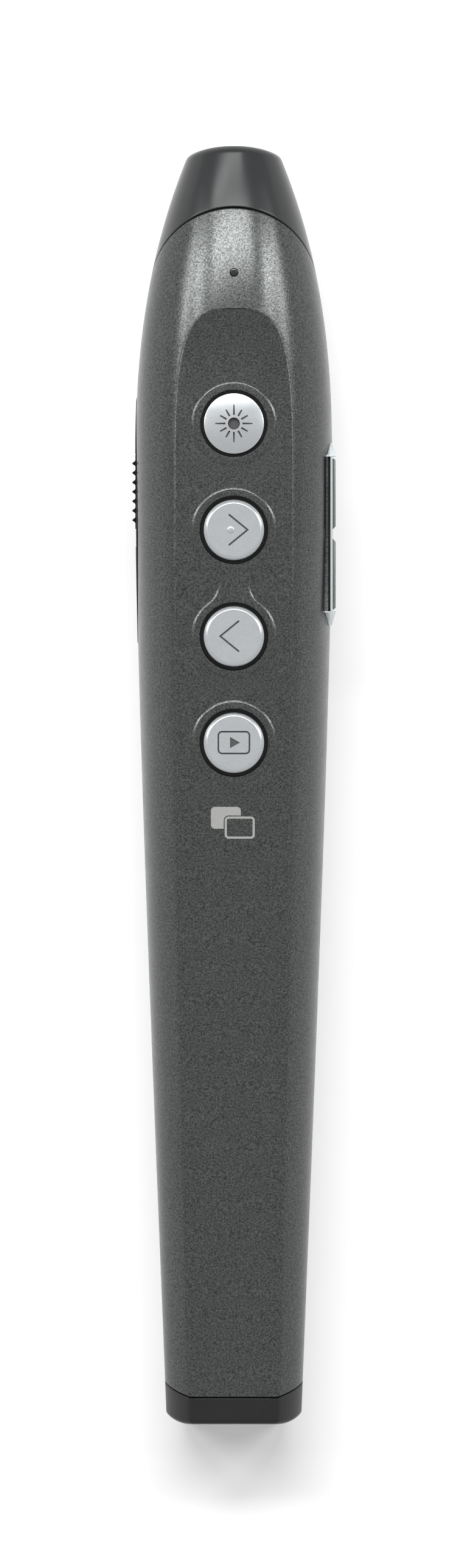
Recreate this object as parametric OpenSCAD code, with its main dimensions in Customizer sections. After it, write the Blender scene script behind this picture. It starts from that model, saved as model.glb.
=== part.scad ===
// Hand-held wireless presentation clicker with a laser pointer, four top keys,
// a power slider, a volume rocker and a USB receiver that stows in the tail.
// X is the width, Y runs from the tail to the nose, Z is up from the flat underside.

/* [Body] */
// Length from the tail to the nose
body_length = 150; // [149.8:0.1:160]
// Width at the widest place
body_width = 23.1; // [23:0.1:25]
// Width at the tail
tail_width = 15.8; // [15.7:0.1:17]
// Width of the nose where its front begins to round
nose_width = 12.25; // [11.75:0.25:13.5]
// How far the front of the nose bulges
nose_dome = 2.8; // [2.4:0.1:3.2]
// Height of the facet at its highest place
body_height = 18.6; // [18.4:0.1:20]
// Height of the facet at the tail
tail_height = 13.6; // [13.5:0.1:14.5]
// Height of the crown where the facet ends
crown_height = 19.2; // [19.1:0.1:20]
// Height of the nose at its tip
nose_height = 13.2; // [12.8:0.1:14.5]
// How far the underside rises to the nose
nose_rise = 3.6; // [3.2:0.1:3.8]
// Height of the parting line between the shells
parting_height = 8.6; // [8.5:0.05:8.7]
// Wall of the shells
wall = 1.1; // [1:0.05:1.15]

/* [Facet] */
// Width of the flat facet at its widest place
facet_width = 13.9; // [13.2:0.1:14.4]
// Width of the facet at the tail
facet_tail_width = 10.2; // [9.6:0.1:10.6]
// From the laser button to the top of the arch
arch_ahead = 13.5; // [13:0.1:14.4]

/* [Nose and tail caps] */
// From the tip of the nose to the seam on the crown
nose_cap_length = 7.4; // [6.6:0.1:7.8]
// Slant of the nose cap's seam from upright
nose_seam_angle = 45; // [42:1:46]
// From the tail's end to the seam on the facet
tail_cap_length = 3.2; // [2.9:0.1:3.4]
// Slant of the tail cap's seam from upright
tail_seam_angle = 19.5; // [16:0.5:21]
// From the tip of the nose to the indicator
nose_to_indicator = 15; // [14.7:0.1:15.5]
// Diameter of the indicator's light pipe
light_pipe_d = 0.95; // [0.8:0.05:1.2]

/* [Buttons] */
// From the tip of the nose to the laser button
nose_to_laser_button = 32.7; // [32.4:0.1:33]
// Pitch of the four buttons
button_pitch = 12.45; // [12.3:0.05:12.6]
// Diameter of a button
button_d = 7.1; // [6.8:0.1:7.3]
// Travel of a button
button_travel = 0.4; // [0.25:0.05:0.4]
// How far a button stands above the facet
button_proud = 0.7; // [0.5:0.05:1]
// Diameter of the raised pad round a button
pad_d = 10; // [9.6:0.1:10.6]
// Height of the raised pads
pad_height = 0.18; // [0.1:0.02:0.3]
// Width of the neck between the two joined pads
pad_neck = 3.65; // [3:0.05:4.4]

/* [Side controls] */
// Length of the rocker
rocker_length = 17.8; // [17:0.1:18]
// Swing of the rocker to each side in degrees
rocker_swing = 2.5; // [1.5:0.25:2.5]
// Number of ribs on the power slider
slider_ribs = 7; // [5:1:7]
// Pitch of the ribs
rib_pitch = 1.11; // [1.05:0.01:1.15]
// Travel of the power slider
slider_travel = 2; // [1.6:0.1:2]

/* [Cells and boards] */
// Diameter of a cell
cell_d = 10.5; // [10:0.1:10.5]
// Length of a cell with its nub
cell_length = 44.5; // [43.5:0.1:44.5]
// Thickness of the main board
board_thickness = 1; // [0.8:0.1:1]
// Diameter of the laser's barrel
barrel_d = 6.6; // [6.2:0.1:6.8]

/* [Receiver] */
// Width of the USB plug
plug_width = 12; // [11.8:0.1:12]
// Height of the USB plug
plug_height = 4.5; // [4.3:0.1:4.5]
// Length of the USB plug's shell
plug_length = 15; // [14:0.1:15]

/* [Hidden] */
$fn = 48;

// Clearances
hole_gap = 0.38;
pocket_gap = 0.25;
flange_gap = 0.1;
seat_gap = 0.1;
cap_gap = 0.12;
slide_gap = 0.12;
pin_gap = 0.04;
plunger_gap = 0.12;
door_gap = 0.12;
thread_gap = 0.05;
cell_clearance = 0.2;
far = 60;

// Places along the length
tail_y = -body_length / 2;
nose_y = body_length / 2;
laser_y = nose_y - nose_to_laser_button;
forward_y = laser_y - button_pitch;
back_y = forward_y - button_pitch;
screen_y = back_y - button_pitch;
arch_y = laser_y + arch_ahead;
led_y = nose_y - nose_to_indicator;
nose_front_y = nose_y - nose_dome;

// Form of the body: the outline narrows softly to the tail and by a power law to the nose
widest_y = nose_y - 37;
outline_blend = 30;
nose_power = 2.4;
half_w = body_width / 2;
tail_taper = (half_w - tail_width / 2) / soft(widest_y - tail_y, outline_blend);
nose_narrowing = (half_w - nose_width / 2) / pow(nose_front_y - widest_y, nose_power);
peak_y = arch_y - 28;
height_blend = 20;
facet_drop = (body_height - tail_height) / soft(peak_y - tail_y, height_blend);
facet_taper = (facet_width - facet_tail_width) / 2 / soft(peak_y - tail_y, height_blend);
arch_power = 5.2;
arch_root = 3;
least_facet = 0.4;
flank_power_nose = 2;
flank_power_tail = 1.6;
under_power = 2.3;
under_flat_share = 0.72;
rise_y = nose_y - 35;
facet_shrink = 0.5;

function soft(d, blend) = sqrt(d * d + blend * blend) - blend;
function super_height(share, power) = pow(1 - pow(share, power), 1 / power);
function half_width(y) = y < widest_y
    ? half_w - tail_taper * soft(widest_y - y, outline_blend)
    : half_w - nose_narrowing * pow(y - widest_y, nose_power);
function facet_half(y) = y < peak_y
    ? facet_width / 2 - facet_taper * soft(peak_y - y, height_blend)
    : y < arch_y
        ? max(least_facet, facet_width / 2
            * pow(1 - pow((y - peak_y) / (arch_y - peak_y), arch_power), 1 / arch_root))
        : least_facet;
function flank_power(y) = y > peak_y ? flank_power_nose
    : flank_power_nose - (flank_power_nose - flank_power_tail) * (peak_y - y) / (peak_y - tail_y);

// The crown is the height that the rounded flanks would reach without the facet
crown_peak = parting_height + (body_height - parting_height)
    / super_height(facet_width / 2 / half_width(peak_y), flank_power_nose);
crown_fall = crown_peak - crown_height;
nose_fall = crown_peak - nose_height
    - crown_fall * pow((nose_y - peak_y) / (arch_y - peak_y), 2);
function crown(y) = crown_peak - crown_fall * pow((y - peak_y) / (arch_y - peak_y), 2)
    - nose_fall * pow(max(0, (y - arch_y) / (nose_y - arch_y)), 2);
function facet_z(y) = y < peak_y
    ? body_height - facet_drop * soft(peak_y - y, height_blend)
    : parting_height + (crown(y) - parting_height)
        * super_height(facet_half(y) / half_width(y), flank_power_nose);
function facet_slope(y) = atan((facet_z(y + 1) - facet_z(y - 1)) / 2);
function under_z(y) = y > rise_y ? nose_rise * pow((y - rise_y) / (nose_y - rise_y), 2) : 0;

// One section, drawn inwards by inset: right flank, facet, left flank, then underneath
flank_steps = 8;
under_steps = 6;
function upper_flank(y, inset) =
    let (w = half_width(y) - inset, f = max(least_facet / 2, facet_half(y) - facet_shrink * inset))
    let (p = flank_power(y), last = acos(pow(f / w, p / 2)))
    let (rise = (facet_z(y) - inset - parting_height) / super_height(f / w, p))
    [for (i = [0:flank_steps]) let (a = last * i / flank_steps)
        [w * pow(cos(a), 2 / p), parting_height + rise * pow(sin(a), 2 / p)]];
function lower_flank(y, inset) =
    let (w = half_width(y) - inset, f = under_flat_share * half_width(y) - facet_shrink * inset)
    let (p = under_power, last = acos(pow(f / w, p / 2)))
    let (fall = (parting_height - under_z(y) - inset) / super_height(f / w, p))
    [for (i = [0:under_steps]) let (a = last * i / under_steps)
        [w * pow(cos(a), 2 / p), parting_height - fall * pow(sin(a), 2 / p)]];
function flipped(list) = [for (p = list) [-p[0], p[1]]];
function reversed(list) = [for (i = [len(list) - 1:-1:0]) list[i]];
function tail_of(list) = [for (i = [1:len(list) - 1]) list[i]];
function section(y, inset, half, skirt) =
    let (up = upper_flank(y, inset), down = lower_flank(y, inset), w = half_width(y) - inset)
    half == "upper" ? concat(up, reversed(flipped(up)),
        skirt > 0 ? [[-w, parting_height - skirt], [w, parting_height - skirt]] : [])
    : half == "lower" ? concat(flipped(down), reversed(down),
        skirt > 0 ? [[w, parting_height + skirt], [-w, parting_height + skirt]] : [])
    : concat(up, reversed(flipped(up)), tail_of(flipped(down)), reversed(tail_of(down)));

// Stations along the length, close together where the form changes quickly
function steps(a, b, step) =
    let (n = ceil((b - a) / step)) [for (i = [0:n - 1]) a + (b - a) * i / n];
stations = concat(
    steps(tail_y, peak_y, 8), steps(peak_y, arch_y - 8, 3), steps(arch_y - 8, arch_y - 1, 1),
    [arch_y - 1, arch_y - 0.5, arch_y - 0.15], steps(arch_y, nose_y, 2));
function between(a, b) = concat([a], [for (y = stations) if (y > a + 0.3 && y < b - 0.3) y], [b]);

// Solid of the body's form between two places, drawn inwards by inset
module form(a, b, inset = 0, half = "full", skirt = 0) {
    ys = between(a, b);
    rings = [for (y = ys) section(y, inset, half, skirt)];
    n = len(rings[0]);
    m = len(ys);
    points = [for (i = [0:m - 1]) for (p = rings[i]) [p[0], ys[i], p[1]]];
    sides = [for (i = [0:m - 2]) for (j = [0:n - 1]) for (second = [false, true])
        let (here = i * n + j, next = i * n + (j + 1) % n)
        second ? [here, next + n, here + n] : [here, next, next + n]];
    ends = [[for (j = [n - 1:-1:0]) j], [for (j = [0:n - 1]) (m - 1) * n + j]];
    polyhedron(points, concat(ends, sides), convexity = 8);
}

// Outline seen from above: a bulging nose and a tail with rounded corners
shell_reach = 4;
under_reach = 8;
cap_hollow_reach = 6;
tail_corner_w = 2.8;
tail_corner_l = 2.4;
nose_dome_power = 2.2;
corner_steps = 8;
dome_steps = 24;
module outline(inset = 0) {
    nose_half = nose_width / 2 - inset;
    tail_half = half_width(tail_y + tail_corner_l) - inset;
    wide = half_w + 5;
    front = [for (i = [0:dome_steps]) let (c = cos(180 * i / dome_steps))
        [nose_half * c, nose_front_y - inset
            + nose_dome * super_height(abs(c), nose_dome_power)]];
    corner = [for (i = [0:corner_steps]) let (a = 90 * i / corner_steps)
        [tail_half - tail_corner_w * (1 - cos(a)), tail_y + inset + tail_corner_l * (1 - sin(a))]];
    polygon(concat(
        [[wide, nose_front_y - inset]], front, [[-wide, nose_front_y - inset]],
        [[-wide, tail_y + inset + tail_corner_l]], flipped(corner), reversed(corner),
        [[wide, tail_y + inset + tail_corner_l]]));
}
module outline_prism(inset = 0) {
    translate([0, 0, -far / 2]) linear_extrude(far) outline(inset);
}

// The slanted seams: everything ahead of the nose seam, and everything behind the tail seam
nose_seam_y = nose_y - nose_cap_length;
tail_seam_y = tail_y + tail_cap_length;
module ahead_of_nose_seam(shift = 0) {
    translate([0, nose_seam_y, facet_z(nose_seam_y)]) rotate([-nose_seam_angle, 0, 0])
        translate([-far, shift, -far]) cube([2 * far, 2 * far, 2 * far]);
}
module behind_tail_seam(shift = 0) {
    translate([0, tail_seam_y, facet_z(tail_seam_y)]) rotate([tail_seam_angle, 0, 0])
        translate([-far, shift - 2 * far, -far]) cube([2 * far, 2 * far, 2 * far]);
}

// Heights of the stack, from the underside up
floor_z = wall;
door_recess = 0.1;
door_top = 1;
door_to_cell = 0.45;
cell_z = door_top + door_to_cell + cell_d / 2;
tray_inner_r = cell_d / 2 + cell_clearance;
tray_wall = 0.8;
tray_roof = 0.55;
tray_outer_r = tray_inner_r + tray_wall;
tray_top = cell_z + tray_inner_r + tray_roof;
board_top = tray_top + board_thickness;
switch_half = 2.6;
switch_height = 1.1;
plunger_sink = 0.25;
switch_floor = switch_height - plunger_sink - button_travel - 0.1;
plunger_stand = button_travel + 0.1;
plunger_r = 1.3;
plunger_top = board_top + switch_height + plunger_stand;
stem_r = 1.2;
roof_left = 0.9;
flange_thickness = 0.6;
flange_r = button_d / 2 + 0.85;

// Cells, tray and door
contact_t = 0.3;
spring_length = 3.4;
cells_front_y = laser_y + 1.2;
plus_plate_y = cells_front_y;
mid_cell_y = cells_front_y - cell_length;
cells_rear_y = mid_cell_y - cell_length;
spring_plate_y = cells_rear_y - spring_length - contact_t;
tray_front_y = cells_front_y + contact_t + tray_wall;
tray_rear_y = spring_plate_y - tray_wall;
opening_half = tray_inner_r + 0.15;
opening_front_y = cells_front_y - 0.2;
opening_rear_y = spring_plate_y + 0.1;
hook_inner_x = 3;
hook_width = 1.8;
hook_length = 1.1;
hook_thickness = 0.5;
hook_room_z = 2.3;
strip_t = 0.15;
strip_half = 1;
nub_length = 1;
cell_nub_r = 2.7;

// Main board and the screws
board_rear_y = screen_y - 25;
board_wide_y = screen_y - 3;
board_narrow_y = laser_y + 3.2;
board_front_y = led_y + 1.3;
board_rear_half = 6.3;
board_wide_half = 8.2;
board_front_half = 4.9;
board_screw_x = 6.9;
board_screw_places = [
    [board_screw_x, laser_y - 0.3], [-board_screw_x, laser_y - 0.3], [board_screw_x, screen_y + 6.1]
];
screw_r = 0.7;
board_boss_r = 1.4;
board_head_r = 1.3;
board_head_t = 0.8;
board_screw_length = 4;
upper_boss_r = 1.75;
lower_boss_r = 2.1;
case_head_r = 1.45;
case_head_t = 1.3;
case_head_z = 3;
case_screw_top = 13;
front_screw_x = 7.2;
front_screw_y = laser_y + 5.7;
rear_screw_y = tray_rear_y - 3;
case_screw_places = [[front_screw_x, front_screw_y], [-front_screw_x, front_screw_y], [0, rear_screw_y]];

// Rocker in its bezel, on the right
control_x = half_w + 0.4;
pivot_y = forward_y - 0.4;
pivot_x = half_w - 1.95;
pin_r = 0.5;
rocker_height = 3;
rocker_bar_x = half_w - 0.95;
rocker_end_gap = 0.17;
eye_r = 1.3;
eye_half_h = 1.25;
finger_notch_r = 0.9;
finger_notch_depth = 0.65;
rocker_sill = 0.3;
bezel_rail = 0.3;
bezel_half_h = rocker_height / 2 + slide_gap + bezel_rail;
rocker_z = parting_height + rocker_sill + seat_gap + bezel_half_h;
bezel_open_half = rocker_length / 2 + rocker_end_gap;
bezel_shoulder = bezel_open_half + 0.15;
bezel_half = bezel_open_half + 1.65;
bezel_inner_x = half_w - 1.25;
bezel_rail_x = half_w + 0.05;
bezel_tip_x = half_w - 0.05;
lug_half = 1.5;
side_switch_offset = rocker_length / 2 - 1.9;
side_switch_face_x = pivot_x - 1.5;
side_switch_depth = 1.65;
side_switch_half = 2.35;
side_plunger_r = 0.8;
side_plunger_sink = 0.5;
side_plunger_stand = 0.65;
side_plunger_room = 0.2;
side_plunger_travel = side_switch_offset * sin(rocker_swing) + 0.15;
nub_r = 0.9;

// Slider in its panel, on the left
slider_y = forward_y + 4.6;
slider_length = 8.7;
slider_height = 2.6;
slider_skin_x = half_w - 0.07;
slider_flange_x = half_w - 1.45;
slider_inner_x = slider_flange_x - 0.5;
slider_flange_margin = 0.6;
rib_scallop_r = 0.42;
panel_y = forward_y + 1.2;
panel_half = 14.65;
panel_half_h = 2.4;
panel_depth = 0.7;
panel_proud = 0.06;
slot_front_y = slider_y + slider_length / 2 + slide_gap;
slot_rear_y = slider_y - slider_length / 2 - slider_travel - slide_gap;
slide_switch_x = slider_inner_x - 0.6;
slide_switch_depth = 2.55;
slide_switch_y = slider_y - slider_travel / 2;
slide_switch_half = 4;
slide_switch_z = parting_height + 0.5;
lever_half = 0.75;
lever_z = parting_height + 0.7;
lever_height = 0.9;
lever_sink = 1;

// Laser
laser_z = 8.2;
barrel_r = barrel_d / 2;
barrel_rear_y = nose_y - 23;
barrel_front_y = nose_y - 9;
barrel_bore_r = barrel_r - 0.85;
lens_r = barrel_r - 0.7;
lens_edge = 0.9;
lens_curve_r = 6;
diode_flange_t = 1.2;
diode_length = 2.2;
laser_board_t = 0.8;
laser_board_half = 3.5;
laser_board_y = barrel_rear_y - diode_flange_t - laser_board_t;
laser_board_half_h = barrel_r + 0.3;
holder_rear_y = barrel_rear_y + 2;
holder_length = 6;
holder_half = barrel_r + 1.7;
tongue_top = 3.4;
tongue_thickness = 0.8;
tongue_half = 4;
cap_reach = 21.6;
cap_front_wall = 1.4;
cap_lip = 0.8;
cap_lip_length = 2.2;
cap_lip_root = 1.5;
cap_lip_low_z = tongue_top + 0.2;
window_r = 2.8;
window_hole_r = 2.2;
window_thickness = 0.72;
window_y = nose_y - 1;

// Receiver and its dock
plug_z = 7.4;
plug_wall = 0.3;
dock_wall = 0.38;
dock_roof = 0.5;
dock_front_y = tail_y + 19.7;
dock_front_wall = 0.5;
dock_flange = 0.8;
plug_front_y = dock_front_y - dock_front_wall - 0.3;
plug_rear_y = plug_front_y - plug_length;
receiver_cap_reach = 11;
receiver_board_t = 1.2;
receiver_chip_half = 2;
receiver_chip_t = 0.7;
receiver_chip_place = 9;
contact_pad_length = 7;
contact_pad_width = 1;
contact_pad_x = [-3.5, -1, 1, 3.5];
receiver_board_half = plug_width / 2 - plug_wall - seat_gap;
receiver_board_rear_y = tail_y + 1.5;
receiver_board_front_y = plug_front_y - 0.6;
contact_pad_t = 0.1;

module drill(x, y, r, low, high) {
    translate([x, y, low]) cylinder(r = r, h = high - low);
}
module block(low, high) {
    translate(low) cube(high - low);
}
module along_x(x, y, z, r, length) {
    translate([x, y, z]) rotate([0, 90, 0]) cylinder(r = r, h = length);
}
module along_y(x, y, z, r, length) {
    translate([x, y, z]) rotate([-90, 0, 0]) cylinder(r = r, h = length);
}

// The raised pad round one button, and the joined pads round two
module pad(y) {
    translate([0, y, facet_z(y)]) rotate([facet_slope(y), 0, 0])
        translate([0, 0, -wall / 2]) cylinder(r = pad_d / 2, h = wall / 2 + pad_height, $fn = 96);
}
module joined_pads(y_a, y_b) {
    half_pitch = (y_a - y_b) / 2;
    r = pad_d / 2;
    neck = pad_neck / 2;
    fillet = (pow(half_pitch, 2) + pow(neck, 2) - pow(r, 2)) / (2 * (r - neck));
    share = fillet / (r + fillet);
    y = (y_a + y_b) / 2;
    translate([0, y, facet_z(y)]) rotate([facet_slope(y), 0, 0]) translate([0, 0, -wall / 2])
        linear_extrude(wall / 2 + pad_height) {
            for (side = [-1, 1]) translate([0, side * half_pitch]) circle(r = r, $fn = 96);
            difference() {
                square([2 * (neck + fillet) * (1 - share), 2 * half_pitch * share], center = true);
                for (side = [-1, 1]) translate([side * (neck + fillet), 0]) circle(r = fillet);
            }
        }
}

// Pointed outline of the rocker's bezel, and the lens outline of the slider's panel
module bezel_outline(margin, inner_x) {
    translate([inner_x, pivot_y, rocker_z]) rotate([90, 0, 90])
        linear_extrude(half_w + 3 - inner_x) polygon([
            [bezel_half + margin, 0], [bezel_shoulder + margin, bezel_half_h + margin],
            [-bezel_shoulder - margin, bezel_half_h + margin], [-bezel_half - margin, 0],
            [-bezel_shoulder - margin, -bezel_half_h - margin],
            [bezel_shoulder + margin, -bezel_half_h - margin]]);
}
module lens_arc(side, margin, inner_x) {
    r = (pow(panel_half, 2) + pow(panel_half_h, 2)) / (2 * panel_half_h);
    translate([-half_w - 2, panel_y, parting_height + side * (r - panel_half_h)])
        rotate([0, 90, 0]) cylinder(r = r + margin, h = half_w + 2 - inner_x, $fn = 720);
}
module panel_lens(margin, inner_x) {
    intersection() {
        lens_arc(-1, margin, inner_x);
        lens_arc(1, margin, inner_x);
    }
}
module slider_slot() {
    reach = slider_height / 2 + slide_gap;
    block([-half_w - 3, slot_rear_y, parting_height - reach],
        [-slider_inner_x, slot_front_y, parting_height + reach]);
}

module case_screw_bosses(r, low, high) {
    for (p = case_screw_places) drill(p[0], p[1], r, low, high);
}
module upper_shell() {
    bosses_top = facet_z(front_screw_y) - 2.9;
    color("#4b4a47") difference() {
        union() {
            difference() {
                form(tail_y, nose_y - shell_reach, 0, "upper");
                difference() {
                    form(tail_y - 1, nose_y - shell_reach + 1, wall, "upper", 2);
                    case_screw_bosses(upper_boss_r, parting_height, bosses_top);
                }
            }
            pad(laser_y);
            joined_pads(forward_y, back_y);
            pad(screen_y);
        }
        ahead_of_nose_seam();
        behind_tail_seam();
        for (y = [laser_y, forward_y, back_y, screen_y]) {
            drill(0, y, button_d / 2 + hole_gap, facet_z(y) - 3, facet_z(y) + 3);
            drill(0, y, flange_r + pocket_gap, facet_z(y) - 3, facet_z(y) - roof_left);
        }
        drill(0, led_y, light_pipe_d / 2 + thread_gap, parting_height, far);
        bezel_outline(seat_gap, pivot_x - 2);
        panel_lens(seat_gap, half_w - panel_depth);
        slider_slot();
        case_screw_bosses(screw_r + thread_gap, parting_height - 1, case_screw_top + 0.2);
    }
}

// The lower shell has the tray's pocket, the door's opening and a tongue under the laser's holder
module laser_tongue() {
    block([-tongue_half, laser_board_y - 1.5, under_z(laser_board_y) + wall / 2],
        [tongue_half, laser_board_y + 1.5, tongue_top]);
    block([-tongue_half, laser_board_y, tongue_top - tongue_thickness],
        [tongue_half, holder_rear_y + holder_length + 0.5, tongue_top]);
}
module dock_rib() {
    rib_y = dock_front_y - 2.7;
    block([-5, rib_y - 0.5, 0], [5, rib_y + 0.5, dock_low_z]);
}
module lower_shell() {
    color("#4b4a47") difference() {
        form(tail_y, nose_y - under_reach, 0, "lower");
        difference() {
            form(tail_y - 1, nose_y - under_reach + 1, wall, "lower", 2);
            case_screw_bosses(lower_boss_r, 0, parting_height);
            dock_rib();
        }
        ahead_of_nose_seam();
        behind_tail_seam();
        block([-opening_half, opening_rear_y, -1], [opening_half, opening_front_y, floor_z + 1]);
        block([-tray_outer_r - seat_gap, tray_rear_y - seat_gap, floor_z],
            [tray_outer_r + seat_gap, tray_front_y + seat_gap, parting_height + 1]);
        panel_lens(seat_gap, half_w - panel_depth);
        slider_slot();
        case_screw_bosses(screw_r + 0.2, -1, parting_height + 1);
        for (p = case_screw_places)
            drill(p[0], p[1], case_head_r + 0.15, -1, under_z(p[1]) + case_head_z);
    }
    color("#4b4a47") laser_tongue();
}

// The nose cap is a closed shell with a lip that slides into the body's shells
module nose_cap() {
    rear_y = nose_seam_y - cap_reach;
    color("#5f6266") difference() {
        union() {
            intersection() {
                form(rear_y, nose_y);
                outline_prism();
                ahead_of_nose_seam(seat_gap);
            }
            intersection() {
                form(rear_y, nose_y - under_reach, wall + seat_gap);
                ahead_of_nose_seam(-cap_lip_length);
                block([-far, -far, cap_lip_low_z], [far, far, far]);
            }
        }
        form(rear_y - 1, nose_y - cap_hollow_reach, wall + cap_lip);
        intersection() {
            form(rear_y - 2, nose_y + 1, wall);
            outline_prism(cap_front_wall);
            union() {
                ahead_of_nose_seam(cap_lip_root);
                block([-far, -far, -1], [far, far, cap_lip_low_z]);
            }
        }
        along_y(0, window_y, laser_z, window_r + thread_gap, 2);
        along_y(0, window_y - 2, laser_z, window_hole_r, 4);
    }
}
module laser_window() {
    color("#3a0c10") along_y(0, window_y, laser_z, window_r, window_thickness);
}
module light_pipe() {
    collar_top = facet_z(led_y) - 1.5;
    color("#101010") {
        drill(0, led_y, light_pipe_d / 2, board_top + 1, facet_z(led_y));
        drill(0, led_y, light_pipe_d / 2 + 0.6, collar_top - 0.5, collar_top);
    }
}

module slider_panel() {
    color("#111111") difference() {
        intersection() {
            panel_lens(0, half_w - panel_depth + seat_gap);
            form(panel_y - panel_half - 2, panel_y + panel_half + 2, -panel_proud);
        }
        slider_slot();
    }
}
module rocker_bezel() {
    color("#c8c8c8") difference() {
        union() {
            intersection() {
                bezel_outline(0, bezel_inner_x);
                translate([0, pivot_y, 0]) linear_extrude(far) polygon([
                    [bezel_inner_x, bezel_half], [bezel_tip_x, bezel_half],
                    [control_x, bezel_shoulder], [control_x, bezel_open_half],
                    [bezel_rail_x, bezel_open_half], [bezel_rail_x, -bezel_open_half],
                    [control_x, -bezel_open_half], [control_x, -bezel_shoulder],
                    [bezel_tip_x, -bezel_half], [bezel_inner_x, -bezel_half]]);
            }
            for (side = [-1, 1]) bezel_lug(side);
        }
        block([bezel_inner_x - 1, pivot_y - bezel_open_half, rocker_z - eye_half_h - seat_gap],
            [half_w + 3, pivot_y + bezel_open_half, rocker_z + eye_half_h + seat_gap]);
        block([rocker_bar_x - slide_gap, pivot_y - bezel_open_half, rocker_z - rocker_height / 2 - slide_gap],
            [half_w + 3, pivot_y + bezel_open_half, rocker_z + rocker_height / 2 + slide_gap]);
        for (side = [-1, 1]) rail_gap(side);
        drill(pivot_x, pivot_y, pin_r + pin_gap, 0, far);
    }
}
// A lug holds one end of the pin, and the rail is thin everywhere else
module bezel_lug(side) {
    low = eye_half_h + seat_gap;
    z = side > 0 ? rocker_z + low : rocker_z - bezel_half_h;
    block([pivot_x - 0.95, pivot_y - lug_half, z],
        [rocker_bar_x - slide_gap, pivot_y + lug_half, z + bezel_half_h - low]);
}
module rail_gap(side) {
    y = pivot_y + side * (lug_half + bezel_open_half) / 2;
    half = (bezel_open_half - lug_half) / 2;
    block([bezel_inner_x - 1, y - half, rocker_z - rocker_height / 2 - slide_gap],
        [half_w + 3, y + half, rocker_z + rocker_height / 2 + slide_gap]);
}
module rocker_pin() {
    color("#9a9a9a") drill(pivot_x, pivot_y, pin_r, rocker_z - bezel_half_h, rocker_z + bezel_half_h);
}

// The tray is an arch over the cells, open underneath above the door
module arch(r, rear_y, front_y, low) {
    along_y(0, rear_y, cell_z, r, front_y - rear_y);
    block([-r, rear_y, low], [r, front_y, cell_z]);
}
module battery_tray() {
    color("#1c1c1c") difference() {
        union() {
            arch(tray_outer_r, tray_rear_y, tray_front_y, floor_z);
            for (p = board_screw_places) drill(p[0], p[1], board_boss_r, cell_z, tray_top);
        }
        arch(tray_inner_r, spring_plate_y, tray_front_y - tray_wall, -1);
        block([-far, -far, tray_top], [far, far, far]);
        block([-far, -far, -1], [far, far, floor_z]);
        block([-hook_inner_x - hook_width - seat_gap, cells_front_y, 0],
            [hook_inner_x + hook_width + seat_gap, tray_front_y + 1, hook_room_z]);
        block([-strip_half - seat_gap, spring_plate_y, cell_z],
            [strip_half + seat_gap, spring_plate_y + contact_t, far]);
        block([-strip_half - seat_gap, plus_plate_y, cell_z],
            [strip_half + seat_gap, plus_plate_y + contact_t, far]);
        for (p = board_screw_places)
            drill(p[0], p[1], screw_r + thread_gap, board_top - board_screw_length - 0.2, far);
    }
}
module cell(rear_y) {
    can_length = cell_length - nub_length;
    along_y(0, rear_y, cell_z, cell_d / 2, can_length);
    along_y(0, rear_y, cell_z, cell_nub_r, cell_length);
}
module front_cell() {
    color("#b98b2c") cell(mid_cell_y);
}
module rear_cell() {
    color("#b98b2c") cell(cells_rear_y);
}

// The spring is a wire swept along a conical coil, with a closed turn at each end
spring_turns = 4;
spring_wire_r = 0.3;
spring_wide_r = 4;
spring_narrow_r = 2.4;
spring_steps = 16;
module battery_spring() {
    rise = spring_length - 2 * spring_wire_r;
    rings = spring_turns * spring_steps;
    sides = 8;
    color("#d0d0d0") translate([0, spring_plate_y + contact_t + spring_wire_r, cell_z]) polyhedron(
        [for (i = [0:rings]) for (j = [0:sides - 1])
            let (turn = 360 * i / spring_steps, a = 360 * j / sides)
            let (r = spring_wide_r + (spring_narrow_r - spring_wide_r) * i / rings + spring_wire_r * cos(a))
            [r * cos(turn), rise * i / rings + spring_wire_r * sin(a), r * sin(turn)]],
        concat([[for (j = [0:sides - 1]) j], [for (j = [sides - 1:-1:0]) rings * sides + j]],
            [for (i = [0:rings - 1]) for (j = [0:sides - 1]) for (second = [false, true])
                let (here = i * sides + j, next = i * sides + (j + 1) % sides)
                second ? [here, here + sides, next + sides] : [here, next + sides, next]]),
        convexity = 10);
}
module contact_plate(y, r) {
    along_y(0, y, cell_z, r, contact_t);
    block([-strip_half, y, cell_z], [strip_half, y + contact_t, tray_top]);
}
module spring_plate() {
    color("#d0d0d0") contact_plate(spring_plate_y, spring_wide_r + spring_wire_r + 0.3);
}
module plus_contact() {
    color("#d0d0d0") contact_plate(plus_plate_y, cell_nub_r + 0.5);
}
module negative_strip() {
    color("#c79a5b") block([-strip_half, spring_plate_y, tray_top],
        [strip_half, board_rear_y, tray_top + strip_t]);
}
module battery_door() {
    half = opening_half - door_gap;
    rear_y = opening_rear_y + door_gap;
    front_y = opening_front_y - door_gap;
    color("#4b4a47") {
        difference() {
            block([-half, rear_y, door_recess], [half, front_y, door_top]);
            for (k = [0:4]) translate([0, rear_y + 2 + 1.2 * k, 0])
                block([-3, 0, -1], [3, 0.6, door_recess + 0.3]);
        }
        for (side = [-1, 1]) {
            x = side > 0 ? hook_inner_x : -hook_inner_x - hook_width;
            block([x, front_y - 1, door_top - 0.3], [x + hook_width, front_y, hook_low_z + hook_thickness]);
            block([x, front_y - 1, hook_low_z],
                [x + hook_width, opening_front_y + hook_length, hook_low_z + hook_thickness]);
        }
    }
}
hook_low_z = floor_z + seat_gap;

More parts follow.
